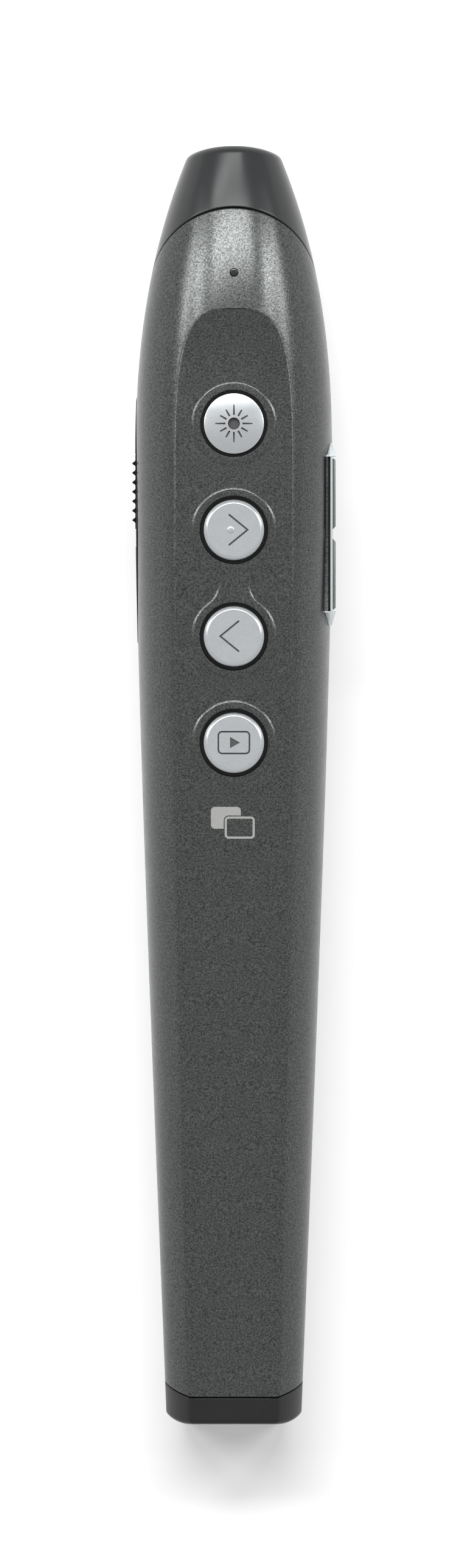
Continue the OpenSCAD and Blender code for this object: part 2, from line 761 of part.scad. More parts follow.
// Main board: narrow beside the rear roof, wide under the buttons, narrow again in the nose
module main_board() {
    color("#1d5c38") difference() {
        union() {
            block([-board_rear_half, board_rear_y, tray_top], [board_rear_half, board_wide_y, board_top]);
            block([-board_wide_half, board_wide_y, tray_top], [board_wide_half, board_narrow_y, board_top]);
            block([-board_front_half, board_narrow_y, tray_top],
                [board_front_half, board_front_y, board_top]);
        }
        for (p = board_screw_places) drill(p[0], p[1], screw_r + thread_gap, 0, far);
    }
}
module on_board(x, y, width, length, height) {
    block([x - width / 2, y - length / 2, board_top], [x + width / 2, y + length / 2, board_top + height]);
}
mcu_y = screen_y - 13;
radio_y = mcu_y - 6.5;
antenna_width = 7;
antenna_length = 2;
antenna_height = 1;
module microcontroller() {
    color("#222222") on_board(0, mcu_y, 5, 5, 0.9);
}
module radio_chip() {
    color("#222222") on_board(-2.6, radio_y, 3.6, 3.6, 0.8);
}
module crystal() {
    color("#c0c0c0") on_board(2.6, radio_y, 3.2, 2.5, 0.8);
}
module chip_antenna() {
    color("#e8e4d8")
        on_board(0, board_rear_y + antenna_length / 2 + 0.6, antenna_width, antenna_length, antenna_height);
}
module chip_passives() {
    color("#8a6f4a") for (side = [-1, 1]) for (k = [0:3])
        on_board(side * 4.2, mcu_y - 3 + 2 * k, 1, 0.6, 0.5);
}
module indicator_led() {
    color("#f4f0dc") on_board(0, led_y, 1.2, 1.6, 0.7);
}
module push_switch(y) {
    color("#2b2b2b") difference() {
        on_board(0, y, 2 * switch_half, 2 * switch_half, switch_height);
        drill(0, y, plunger_r + plunger_gap, board_top + switch_floor, far);
    }
}
module laser_switch() {
    push_switch(laser_y);
}
module forward_switch() {
    push_switch(forward_y);
}
module back_switch() {
    push_switch(back_y);
}
module screen_switch() {
    push_switch(screen_y);
}
module side_switch(y) {
    color("#2b2b2b") difference() {
        block([side_switch_face_x - side_switch_depth, y - side_switch_half, parting_height + 0.4],
            [side_switch_face_x, y + side_switch_half, tray_top]);
        along_x(side_switch_face_x - side_plunger_sink - side_plunger_travel, y, rocker_z,
            side_plunger_r + side_plunger_room, far);
    }
}
module volume_up_switch() {
    side_switch(pivot_y + side_switch_offset);
}
module volume_down_switch() {
    side_switch(pivot_y - side_switch_offset);
}
module slide_switch() {
    color("#2b2b2b") difference() {
        block([-slide_switch_x, slide_switch_y - slide_switch_half, slide_switch_z],
            [slide_switch_depth - slide_switch_x, slide_switch_y + slide_switch_half, tray_top]);
        block([-far, slider_y - lever_half - slider_travel - slide_gap, lever_z - slide_gap],
            [lever_sink + slide_gap - slide_switch_x, slider_y + lever_half + slide_gap,
                lever_z + lever_height + slide_gap]);
    }
}
module board_screws() {
    color("#b8b8b8") for (p = board_screw_places) {
        drill(p[0], p[1], screw_r, board_top - board_screw_length, board_top);
        drill(p[0], p[1], board_head_r, board_top, board_top + board_head_t);
    }
}
module case_screws() {
    color("#b8b8b8") for (p = case_screw_places) {
        head_top = under_z(p[1]) + case_head_z;
        drill(p[0], p[1], case_head_r, head_top - case_head_t, head_top);
        drill(p[0], p[1], screw_r, head_top, case_screw_top);
    }
}

// Laser module in its holder
module laser_holder() {
    color("#1c1c1c") difference() {
        block([-holder_half, holder_rear_y, tongue_top],
            [holder_half, holder_rear_y + holder_length, tray_top]);
        along_y(0, holder_rear_y - 1, laser_z, barrel_r + thread_gap, holder_length + 2);
    }
}
module laser_barrel() {
    color("#b08d4f") difference() {
        along_y(0, barrel_rear_y, laser_z, barrel_r, barrel_front_y - barrel_rear_y);
        along_y(0, barrel_rear_y - 1, laser_z, barrel_bore_r, far);
        along_y(0, barrel_front_y - lens_edge - 0.1, laser_z, lens_r + seat_gap, far);
    }
}
module laser_lens() {
    lens_y = barrel_front_y - lens_edge - 0.1;
    bulge = lens_curve_r - sqrt(pow(lens_curve_r, 2) - pow(lens_r, 2));
    color("#cfe4ee") intersection() {
        along_y(0, lens_y, laser_z, lens_r, 2);
        translate([0, lens_y + lens_edge + bulge - lens_curve_r, laser_z]) sphere(r = lens_curve_r);
    }
}
module laser_diode() {
    color("#c9b06a") {
        along_y(0, barrel_rear_y - diode_flange_t, laser_z, lens_r + 0.2, diode_flange_t);
        along_y(0, barrel_rear_y - 0.5, laser_z, barrel_bore_r - seat_gap, diode_length + 0.5);
    }
}
module laser_board() {
    color("#1d5c38") block([-laser_board_half, laser_board_y, laser_z - laser_board_half_h],
        [laser_board_half, laser_board_y + laser_board_t, laser_z + laser_board_half_h]);
}
module laser_leads() {
    color("#c79a5b") for (side = [-1, 1])
        drill(1.5 * side, laser_board_y + laser_board_t / 2, 0.3, laser_z + laser_board_half_h, tray_top);
}

// The dock is a sleeve for the plug, with a flange that closes the body's tail
dock_low_z = plug_z - plug_height / 2 - slide_gap - dock_roof;
module plug_prism(margin, rear_y, front_y) {
    x = plug_width / 2 + margin;
    z = plug_height / 2 + margin;
    block([-x, rear_y, plug_z - z], [x, front_y, plug_z + z]);
}
module receiver_dock() {
    half = plug_width / 2 + slide_gap + dock_wall;
    color("#1c1c1c") difference() {
        intersection() {
            form(tail_y + 1, dock_front_y + 1, wall + cap_gap);
            union() {
                block([-half, tail_y, dock_low_z], [half, dock_front_y, 2 * plug_z - dock_low_z]);
                behind_tail_seam(cap_gap + 0.2 + dock_flange);
            }
        }
        behind_tail_seam(cap_gap + 0.2);
        plug_prism(slide_gap, tail_y, dock_front_y - dock_front_wall);
    }
}

// Buttons: a flange under the roof, a bevelled cap above it and a stem down to the switch
bevel_height = 0.35;
bevel_width = 0.43;
mark_depth = 0.1;
mark_line = 0.2;
function button_top(y) = facet_z(y) + button_proud;
module button_body(y) {
    top = button_top(y);
    flange_top = facet_z(y) - roof_left - flange_gap;
    r = button_d / 2;
    translate([0, y, 0]) rotate_extrude($fn = 96) polygon([
        [0, plunger_top], [stem_r, plunger_top], [stem_r, flange_top - flange_thickness],
        [flange_r, flange_top - flange_thickness], [flange_r, flange_top], [r, flange_top],
        [r, top - bevel_height], [r - bevel_width, top], [0, top]]);
}
module plunger(y) {
    color("#d8d8d8") drill(0, y, plunger_r, board_top + switch_height - plunger_sink, plunger_top);
}
// One straight engraved line, and the arrow made of two
module line(from, to) {
    d = to - from;
    translate(from) rotate(atan2(d[1], d[0])) translate([0, -mark_line / 2]) square([norm(d), mark_line]);
}
module chevron(y, side) {
    translate([0, y, button_top(y) - mark_depth]) linear_extrude(1) for (k = [-1, 1])
        line([side * -0.6, k * 1.8], [side * 1.6, 0]);
}
ray_inner_r = 1;
ray_short_r = 1.86;
ray_long_r = 2.2;
ray_depth = 0.25;
dome_height = 0.45;
emblem_r = 0.7;
emblem_depth = 0.4;
module laser_button() {
    top = button_top(laser_y);
    dome_r = (pow(button_d / 2, 2) + pow(dome_height, 2)) / (2 * dome_height);
    color("#c4c4c2") difference() {
        intersection() {
            button_body(laser_y);
            translate([0, laser_y, top - dome_r]) sphere(r = dome_r, $fn = 96);
        }
        drill(0, laser_y, emblem_r, top - emblem_depth, far);
        for (k = [0:11]) translate([0, laser_y, top - ray_depth]) rotate(30 * k)
            block([ray_inner_r, -mark_line / 2, 0], [k % 3 == 0 ? ray_long_r : ray_short_r, mark_line / 2, 2]);
    }
}
module laser_plunger() {
    plunger(laser_y);
}
module forward_button() {
    color("#a3a3a1") {
        difference() {
            button_body(forward_y);
            chevron(forward_y, 1);
        }
        drill(-0.37, forward_y, 0.43, button_top(forward_y) - 0.1, button_top(forward_y) + 0.1);
    }
}
module forward_plunger() {
    plunger(forward_y);
}
module back_button() {
    color("#a3a3a1") difference() {
        button_body(back_y);
        chevron(back_y, -1);
    }
}
module back_plunger() {
    plunger(back_y);
}
module rounded_rectangle(width, length, r) {
    x = width / 2 - r;
    y = length / 2 - r;
    square([2 * x, length], center = true);
    square([width, 2 * y], center = true);
    for (side = [-1, 1]) for (end = [-1, 1]) translate([side * x, end * y]) circle(r = r);
}
module screen_button() {
    color("#a3a3a1") difference() {
        button_body(screen_y);
        translate([0, screen_y, button_top(screen_y) - mark_depth]) linear_extrude(1) {
            difference() {
                rounded_rectangle(3.84, 2.75, 0.54);
                rounded_rectangle(3.84 - 2 * mark_line, 2.75 - 2 * mark_line, 0.54 - mark_line);
            }
            polygon([[-0.45, 0.65], [-0.45, -0.65], [0.7, 0]]);
        }
    }
}
module screen_plunger() {
    plunger(screen_y);
}

// Power slider with its ribs, and the lever that it pushes
module power_slider() {
    half = slider_length / 2;
    half_h = slider_height / 2;
    rib_half = slider_ribs * rib_pitch / 2;
    color("#161616") difference() {
        union() {
            block([-slider_skin_x, slider_y - half, parting_height - half_h],
                [-slider_inner_x, slider_y + half, parting_height + half_h]);
            block([-slider_flange_x, slider_y - half - slider_flange_margin,
                parting_height - half_h - slider_flange_margin],
                [-slider_inner_x, slider_y + half + slider_flange_margin,
                parting_height + half_h + slider_flange_margin]);
            block([-control_x, slider_y - rib_half, parting_height - half_h + 0.2],
                [-slider_skin_x, slider_y + rib_half, parting_height + half_h - 0.2]);
        }
        for (k = [0:slider_ribs])
            drill(-slider_skin_x - rib_scallop_r, slider_y + (k - slider_ribs / 2) * rib_pitch,
                rib_scallop_r, parting_height - half_h, parting_height + half_h);
    }
}
module switch_lever() {
    color("#2b2b2b") block([-slider_inner_x, slider_y - lever_half, lever_z],
        [lever_sink - slide_switch_x, slider_y + lever_half, lever_z + lever_height]);
}

// Rocker: a bar with two keys and a finger notch, an eye on the pin, and a nub over each switch
module volume_rocker() {
    half = rocker_length / 2;
    half_h = rocker_height / 2;
    nub_x = side_switch_face_x + side_plunger_stand;
    color("#7c7c7a") difference() {
        union() {
            translate([0, pivot_y, rocker_z - half_h]) linear_extrude(rocker_height) polygon([
                [rocker_bar_x, -half], [control_x - 0.25, -half], [control_x, 0.3 - half],
                [control_x, half - 0.3], [control_x - 0.25, half], [rocker_bar_x, half]]);
            drill(pivot_x, pivot_y, eye_r, rocker_z - eye_half_h, rocker_z + eye_half_h);
            block([pivot_x, pivot_y - 1, rocker_z - eye_half_h],
                [rocker_bar_x + 0.2, pivot_y + 1, rocker_z + eye_half_h]);
            for (side = [-1, 1])
                along_x(nub_x, pivot_y + side * side_switch_offset, rocker_z,
                    nub_r, rocker_bar_x + 0.2 - nub_x);
        }
        drill(pivot_x, pivot_y, pin_r + pin_gap, 0, far);
        drill(control_x - finger_notch_depth + finger_notch_r, pivot_y, finger_notch_r, 0, far);
    }
}
module side_plunger(y) {
    color("#d8d8d8") along_x(side_switch_face_x - side_plunger_sink, y, rocker_z,
        side_plunger_r, side_plunger_sink + side_plunger_stand);
}
module volume_up_plunger() {
    side_plunger(pivot_y + side_switch_offset);
}
module volume_down_plunger() {
    side_plunger(pivot_y - side_switch_offset);
}

// Receiver: the tail cap carries the plug
module receiver_cap() {
    board_room = receiver_board_t / 2 + 0.3;
    color("#161616") difference() {
        intersection() {
            form(tail_y, tail_y + receiver_cap_reach);
            outline_prism();
            behind_tail_seam(-cap_gap);
        }
        plug_prism(seat_gap, plug_rear_y, dock_front_y);
        block([-receiver_board_half - seat_gap, receiver_board_rear_y - seat_gap, plug_z - board_room],
            [receiver_board_half + seat_gap, dock_front_y, plug_z + board_room]);
    }
}
module plug_shell() {
    color("#c8c8c8") difference() {
        plug_prism(0, plug_rear_y, plug_front_y);
        plug_prism(-plug_wall, plug_rear_y - 1, plug_front_y + 1);
        for (side = [-1, 1]) translate([side * 3.1, plug_front_y - 7, plug_z])
            block([-1.1, 0, 0], [1.1, 2, far]);
    }
}
module receiver_board() {
    color("#1d5c38") block([-receiver_board_half, receiver_board_rear_y, plug_z - receiver_board_t / 2],
        [receiver_board_half, receiver_board_front_y, plug_z + receiver_board_t / 2]);
}
module plug_contacts() {
    z = plug_z + receiver_board_t / 2;
    color("#d9b45a") for (x = contact_pad_x) translate([x, receiver_board_front_y - 0.5, z])
        block([-contact_pad_width / 2, -contact_pad_length, 0], [contact_pad_width / 2, 0, contact_pad_t]);
}
module receiver_chip() {
    y = receiver_board_front_y - receiver_chip_place;
    z = plug_z - receiver_board_t / 2;
    half = receiver_chip_half;
    color("#222222") block([-half, y - half, z - receiver_chip_t], [half, y + half, z]);
}

upper_shell();
lower_shell();
nose_cap();
laser_window();
light_pipe();
slider_panel();
rocker_bezel();
rocker_pin();
battery_tray();
front_cell();
rear_cell();
battery_spring();
spring_plate();
plus_contact();
negative_strip();
battery_door();
main_board();
microcontroller();
radio_chip();
crystal();
chip_antenna();
chip_passives();
indicator_led();
laser_switch();
forward_switch();
back_switch();
screen_switch();
volume_up_switch();
volume_down_switch();
slide_switch();
board_screws();
case_screws();
laser_holder();
laser_barrel();
laser_lens();
laser_diode();
laser_board();
laser_leads();
receiver_dock();
laser_button();
laser_plunger();
forward_button();
forward_plunger();
back_button();
back_plunger();
screen_button();
screen_plunger();
power_slider();
switch_lever();
volume_rocker();
volume_up_plunger();
volume_down_plunger();
receiver_cap();
plug_shell();
receiver_board();
plug_contacts();
receiver_chip();
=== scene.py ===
"""Looks of a hand-held wireless presentation clicker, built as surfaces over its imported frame.

Every length is in metres. X is the width, Y runs from the tail to the nose, Z is up from the flat underside.
"""

import math

import bpy
import numpy as np
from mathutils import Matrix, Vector
from bpy.props import FloatProperty, FloatVectorProperty, IntProperty, PointerProperty


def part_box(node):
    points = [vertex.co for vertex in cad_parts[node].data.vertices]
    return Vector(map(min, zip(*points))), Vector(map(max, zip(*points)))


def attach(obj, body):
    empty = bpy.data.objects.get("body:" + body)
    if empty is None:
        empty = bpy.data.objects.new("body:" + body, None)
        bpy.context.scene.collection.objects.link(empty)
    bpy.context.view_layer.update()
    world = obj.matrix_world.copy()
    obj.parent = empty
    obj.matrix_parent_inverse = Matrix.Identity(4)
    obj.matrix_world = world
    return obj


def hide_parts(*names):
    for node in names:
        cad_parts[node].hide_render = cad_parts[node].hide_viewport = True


bl_info = {
    "name": "Presentation Clicker Looks",
    "version": (1, 0, 0),
    "blender": (4, 5, 0),
    "location": "3D View > Sidebar > Clicker",
    "description": "Builds the visible surfaces and finishes of a wireless presentation clicker",
    "category": "Add Mesh",
}

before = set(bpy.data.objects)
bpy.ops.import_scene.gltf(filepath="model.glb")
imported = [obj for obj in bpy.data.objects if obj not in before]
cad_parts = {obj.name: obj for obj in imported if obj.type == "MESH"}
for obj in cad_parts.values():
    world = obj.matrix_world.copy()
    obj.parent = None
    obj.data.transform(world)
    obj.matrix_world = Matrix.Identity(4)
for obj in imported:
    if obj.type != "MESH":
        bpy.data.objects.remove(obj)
MM = 0.001


def low(node, axis):
    """The lowest place of a frame node along one axis."""
    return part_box(node)[0][axis]


def high(node, axis):
    """The highest place of a frame node along one axis."""
    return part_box(node)[1][axis]


def middle(node, axis):
    """The middle of a frame node along one axis."""
    return (low(node, axis) + high(node, axis)) / 2


def half_size(node, axis):
    """Half the size of a frame node along one axis."""
    return (high(node, axis) - low(node, axis)) / 2


def at(curve, y):
    """One value of a curve along the length, as a plain number."""
    return float(curve(np.array(y)))


def length_prop(name, description, default):
    """A size in metres that a user may change."""
    return FloatProperty(name=name, description=description, default=default, unit="LENGTH", precision=5)


def colour_prop(name, description, default):
    """A colour that a user may change."""
    return FloatVectorProperty(
        name=name, description=description, default=default, size=3, min=0, max=1, subtype="COLOR")


class ClickerBody(bpy.types.PropertyGroup):
    """Sizes of the two shells and the two end caps."""
    length: length_prop("Length", "From the tail to the nose", high("nose_cap", 1) - low("receiver_cap", 1))
    width: length_prop("Width", "Width at the widest place", 23.1 * MM)
    tail_width: length_prop("Tail width", "Width at the tail", 15.8 * MM)
    nose_width: length_prop("Nose width", "Width where the front begins to round", 12.25 * MM)
    nose_dome: length_prop("Nose dome", "How far the front of the nose bulges", 2.8 * MM)
    height: length_prop("Facet height", "Height of the facet at its highest place", 18.6 * MM)
    tail_height: length_prop("Tail height", "Height of the facet at the tail", 13.6 * MM)
    crown_height: length_prop("Crown height", "Height of the crown where the facet ends", 19.2 * MM)
    nose_height: length_prop("Nose height", "Height of the nose at its tip", 13.2 * MM)
    nose_rise: length_prop("Nose rise", "How far the underside rises to the nose", 3.6 * MM)
    parting: length_prop("Parting height", "Height of the line between the shells", 8.6 * MM)
    facet_width: length_prop("Facet width", "Width of the flat facet at its widest place", 13.9 * MM)
    facet_tail: length_prop("Facet tail width", "Width of the facet at the tail", 10.2 * MM)
    skin: length_prop("Skin", "Thickness of the shells' skin", 0.9 * MM)
    edge: length_prop("Edge softness", "How far the facet's edge is rounded", 0.3 * MM)
    lip: length_prop("Lip softness", "How far a seam's lip is rounded", 0.1 * MM)


class ClickerControls(bpy.types.PropertyGroup):
    """Sizes of the keys, the pads round them and the controls on the flanks."""
    key_d: length_prop("Key diameter", "Diameter of a top key", 7.1 * MM)
    key_proud: length_prop("Key height", "How far a key stands above the facet", 0.7 * MM)
    key_gap: length_prop("Key gap", "Gap between a key and its hole", 0.38 * MM)
    bevel: length_prop("Key bevel", "Width of a key's polished rim", 0.43 * MM)
    dome: length_prop("Dome", "Height of the laser key's dome", 0.45 * MM)
    mark_line: length_prop("Mark line", "Width of an engraved line", 0.2 * MM)
    mark_depth: length_prop("Mark depth", "Depth of an engraved line", 0.13 * MM)
    pad_d: length_prop("Pad diameter", "Diameter of the raised pad round a key", 10 * MM)
    pad_height: length_prop("Pad height", "Height of the raised pads", 0.18 * MM)
    pad_neck: length_prop("Pad neck", "Width of the neck between the joined pads", 3.65 * MM)
    ribs: IntProperty(name="Ribs", description="Number of ribs on the power slider", default=7, min=3)


class ClickerFinish(bpy.types.PropertyGroup):
    """Colours of the finishes."""
    paint: colour_prop("Paint", "Metallic grey paint of the shells", (0.068, 0.071, 0.070))
    smoke: colour_prop("Smoke plastic", "Glossy plastic of the nose cap", (0.008, 0.009, 0.010))
    black: colour_prop("Black plastic", "Black moulded plastic", (0.006, 0.006, 0.006))
    key: colour_prop("Key silver", "Satin silver of the keys", (0.40, 0.42, 0.43))
    chrome: colour_prop("Chrome", "Chrome trim", (0.56, 0.60, 0.61))
    print_ink: colour_prop("Print", "Ink of the printed pictogram", (0.36, 0.36, 0.35))


# ---------------------------------------------------------------- the body's form

OUTLINE_BLEND = 30 * MM
HEIGHT_BLEND = 20 * MM
NOSE_POWER = 2.4
ARCH_POWER = 5.2
ARCH_ROOT = 3.0
LEAST_FACET = 0.4 * MM
FLANK_POWER_NOSE = 2.0
FLANK_POWER_TAIL = 1.6
UNDER_POWER = 2.3
UNDER_FLAT_SHARE = 0.72
FACET_SHRINK = 0.5
NOSE_SEAM_SLANT = math.tan(math.radians(45))
TAIL_SEAM_SLANT = math.tan(math.radians(19.5))
NOSE_DOME_POWER = 2.2
TAIL_CORNER_W = 2.8 * MM
TAIL_CORNER_L = 2.4 * MM
ARCH_PAST_LASER = 13.5 * MM
ARCH_LENGTH = 28 * MM
WIDEST_FROM_NOSE = 37 * MM
RISE_LENGTH = 35 * MM
NOSE_CAP_LENGTH = 7.4 * MM
TAIL_CAP_LENGTH = 3.2 * MM
MEETING_STEPS = 40

# Sizes that two pieces share
SLOT_GAP = 0.12 * MM
SLIDER_HALF_HEIGHT = 1.3 * MM
SLIDER_FLANGE = 0.6 * MM
SLIDER_THROW = 2 * MM
PANEL_HALF_HEIGHT = 2.4 * MM
BEZEL_POINT = 1.5 * MM
BEZEL_PROUD = 0.4 * MM
PIPE_COLLAR = 0.6 * MM
SCREW_SINK = 3 * MM
SHELL_TAIL_MARGIN = 11 * MM
PAST_FLANK = 14 * MM
BORE_LOW = -3 * MM
BORE_HIGH = 1 * MM
KEYS = ("laser", "forward", "back", "screen")


def soft(distance, blend):
    """A slope that starts from nothing and grows straight.

    It is the root of distance squared plus blend squared, less blend."""
    return np.sqrt(distance * distance + blend * blend) - blend


def super_height(share, power):
    """Height of a unit superellipse above the given share of its half width."""
    return (1 - np.minimum(share, 1) ** power) ** (1 / power)


class Form:
    """The body's outline and heights along its length, worked out from its sizes."""

    def __init__(self, body):
        self.nose = body.length / 2
        self.tail = -body.length / 2
        self.nose_front = self.nose - body.nose_dome
        self.nose_half = body.nose_width / 2
        self.nose_dome = body.nose_dome
        self.parting = body.parting
        self.half_w = body.width / 2
        self.laser_y = middle("laser_button", 1)
        self.arch = self.laser_y + ARCH_PAST_LASER
        self.peak = self.arch - ARCH_LENGTH
        self.widest = self.nose - WIDEST_FROM_NOSE
        self.rise_y = self.nose - RISE_LENGTH
        self.nose_rise = body.nose_rise
        self.height = body.height
        self.facet_full = body.facet_width / 2
        self.edge = body.edge
        tail_reach = soft(self.widest - self.tail, OUTLINE_BLEND)
        self.tail_taper = (self.half_w - body.tail_width / 2) / tail_reach
        nose_reach = self.nose_front - self.widest
        self.nose_narrowing = (self.half_w - self.nose_half) / nose_reach ** NOSE_POWER
        peak_reach = soft(self.peak - self.tail, HEIGHT_BLEND)
        self.facet_drop = (body.height - body.tail_height) / peak_reach
        self.facet_taper = (body.facet_width - body.facet_tail) / 2 / peak_reach
        peak_share = self.facet_full / at(self.half_width, self.peak)
        facet_share = super_height(peak_share, FLANK_POWER_NOSE)
        self.crown_peak = self.parting + (body.height - self.parting) / facet_share
        self.crown_fall = self.crown_peak - body.crown_height
        nose_share = ((self.nose - self.peak) / (self.arch - self.peak)) ** 2
        self.nose_fall = self.crown_peak - body.nose_height - self.crown_fall * nose_share
        self.nose_seam = self.nose - NOSE_CAP_LENGTH
        self.tail_seam = self.tail + TAIL_CAP_LENGTH
        self.nose_seam_z = at(self.facet_z, self.nose_seam)
        self.tail_seam_z = at(self.facet_z, self.tail_seam)
        self.tail_half = at(self.half_width, self.tail + TAIL_CORNER_L)

    def half_width(self, y):
        """Half the outline: a soft taper to the tail, a power law to the nose."""
        tail = self.half_w - self.tail_taper * soft(np.maximum(self.widest - y, 0), OUTLINE_BLEND)
        return tail - self.nose_narrowing * np.maximum(y - self.widest, 0) ** NOSE_POWER

    def facet_half(self, y):
        """Half the facet: a soft taper to the tail, a rounded arch to the nose."""
        reach = np.clip((y - self.peak) / (self.arch - self.peak), 0, 1)
        arch = (1 - reach ** ARCH_POWER) ** (1 / ARCH_ROOT)
        tail = self.facet_full - self.facet_taper * soft(np.maximum(self.peak - y, 0), HEIGHT_BLEND)
        return np.maximum(LEAST_FACET, tail * arch)

    def flank_power(self, y):
        """The flank's superellipse power, lower towards the tail."""
        share = np.maximum(self.peak - y, 0) / (self.peak - self.tail)
        return FLANK_POWER_NOSE - (FLANK_POWER_NOSE - FLANK_POWER_TAIL) * share

    def crown(self, y):
        """The height that the flanks would reach without the facet: a parabola, steeper past the arch."""
        fall = self.crown_fall * ((y - self.peak) / (self.arch - self.peak)) ** 2
        beyond = np.maximum(0, (y - self.arch) / (self.nose - self.arch)) ** 2
        return self.crown_peak - fall - self.nose_fall * beyond

    def facet_z(self, y):
        """Height of the facet: a soft drop to the tail, and a chord of the crown towards the nose."""
        tail = self.height - self.facet_drop * soft(np.maximum(self.peak - y, 0), HEIGHT_BLEND)
        share = self.facet_half(y) / self.half_width(y)
        chord = self.parting + (self.crown(y) - self.parting) * super_height(share, FLANK_POWER_NOSE)
        return np.where(y < self.peak, tail, chord)

    def facet_slope(self, y):
        """Slope of the facet along the length, as an angle, from its rise over a short step to each side."""
        step = 1 * MM
        rise = at(self.facet_z, y + step) - at(self.facet_z, y - step)
        return math.atan(rise / 2 / step)

    def under_z(self, y):
        """Height of the underside: flat, then a parabola up to the nose."""
        return self.nose_rise * (np.maximum(y - self.rise_y, 0) / (self.nose - self.rise_y)) ** 2

    def point(self, y, q, inset, under=False):
        """One place on the section at y, drawn inwards by inset.

        q runs 0 to 1 up the superellipse flank, 1 to 2 round the softened edge as a quadratic Bezier curve
        and 2 to 3 across the flat to the middle. The flank ends about one edge before its corner, at a place
        found from its last hundredth. Gives x and z, all as whole arrays."""
        w = self.half_width(y) - inset
        if under:
            f = UNDER_FLAT_SHARE * self.half_width(y) - FACET_SHRINK * inset
            p = UNDER_POWER
            reach = self.parting - self.under_z(y) - inset
            edge = 2 * self.edge
        else:
            f = np.maximum(LEAST_FACET / 2, self.facet_half(y) - FACET_SHRINK * inset)
            p = self.flank_power(y)
            reach = self.facet_z(y) - inset - self.parting
            edge = self.edge
        edge = np.minimum(edge, 0.8 * f)
        rise = reach / super_height(f / w, p)
        last = np.arccos((f / w) ** (p / 2))

        def flank(a):
            return w * np.cos(a) ** (2 / p), rise * np.sin(a) ** (2 / p)

        near_x, near_z = flank(0.99 * last)
        start = last - edge * 0.01 * last / np.hypot(near_x - f, near_z - reach)
        flank_x, flank_z = flank(start * np.clip(q, 0, 1))
        t = np.clip(q - 1, 0, 1)
        x = (1 - t) ** 2 * flank_x + 2 * t * (1 - t) * f + t * t * (f - edge) * np.clip(3 - q, 0, 1)
        z = (1 - t) ** 2 * flank_z + 2 * t * (1 - t) * reach + t * t * reach
        return x, self.parting + (-z if under else z)

    def nose_front_y(self, x):
        """The bulging front, seen from above: a superellipse dome."""
        return self.nose_front + self.nose_dome * super_height(np.abs(x) / self.nose_half, NOSE_DOME_POWER)

    def tail_rear_y(self, x):
        """The rear, seen from above: straight, with elliptical corners."""
        over = np.clip((np.abs(x) - (self.tail_half - TAIL_CORNER_W)) / TAIL_CORNER_W, 0, 1)
        return self.tail + TAIL_CORNER_L * (1 - np.sqrt(1 - over * over))

    def nose_seam_y(self, z):
        """Where the slanted nose seam stands at a height."""
        return self.nose_seam + (z - self.nose_seam_z) * NOSE_SEAM_SLANT

    def tail_seam_y(self, z):
        """Where the slanted tail seam stands at a height."""
        return self.tail_seam - (z - self.tail_seam_z) * TAIL_SEAM_SLANT

    def along(self, y, q, inset, end, under=False):
        """The lengthwise place, for each column q, where the surface meets an end given as end(x, z).

        Each step goes halfway from the place reached to the end's place there."""
        y = np.full(np.shape(q), y)
        for _ in range(MEETING_STEPS):
            x, z = self.point(y, q, inset, under)
            y = 0.5 * y + 0.5 * end(x, z)
        return y


def columns(flank_steps, edge_steps, flat_steps):
    """q and side of each column of a half section, from the right parting line to the left one."""
    half = np.concatenate([
        np.linspace(0, 1, flank_steps + 1), np.linspace(1, 2, edge_steps + 1)[1:],
        np.linspace(2, 3, flat_steps + 1)[1:]])
    q = np.concatenate([half, half[-2::-1]])
    side = np.where(np.arange(len(q)) < len(half), 1.0, -1.0)
    return q, side


def lip_inset(distance, lip):
    """How far a seam's lip is drawn in: a parabola that ends at one and a half lips from the seam.

    Without a lip it is nothing everywhere."""
    return lip * np.maximum(0, 1 - distance / (1.5 * lip)) ** 2 if lip else 0 * distance


# ---------------------------------------------------------------- meshes

def grid_quads(rows, cols, around=False, lengthwise=False, start=0):
    """Corner numbers of a grid's quads, row by row, closed round in either direction where asked."""
    i = np.arange(rows if lengthwise else rows - 1)[:, None]
    j = np.arange(cols if around else cols - 1)[None, :]
    here, right = i * cols + j, i * cols + (j + 1) % cols
    up, up_right = ((i + 1) % rows) * cols + j, ((i + 1) % rows) * cols + (j + 1) % cols
    quads = np.stack([here + 0 * j, right + 0 * i, up_right, up], axis=-1)
    return quads.reshape(-1, 4) + start


def piece(name, points, faces, bands=None):
    """A new object at the origin with this mesh, whose place is in its vertices."""
    mesh = bpy.data.meshes.new(name)
    mesh.from_pydata(np.asarray(points, float).reshape(-1, 3).tolist(), [], faces)
    if bands is not None:
        mesh.polygons.foreach_set("material_index", np.asarray(bands, np.int32))
    mesh.validate()
    mesh.update()
    made = bpy.data.objects.new(name, mesh)
    bpy.context.scene.collection.objects.link(made)
    return made


def joined(parts):
    """Several (points, faces) pairs as one pair."""
    points, faces, start = [], [], 0
    for p, f in parts:
        p = np.asarray(p, float).reshape(-1, 3)
        points.append(p)
        faces += [[int(k) + start for k in face] for face in f]
        start += len(p)
    return np.concatenate(points), faces


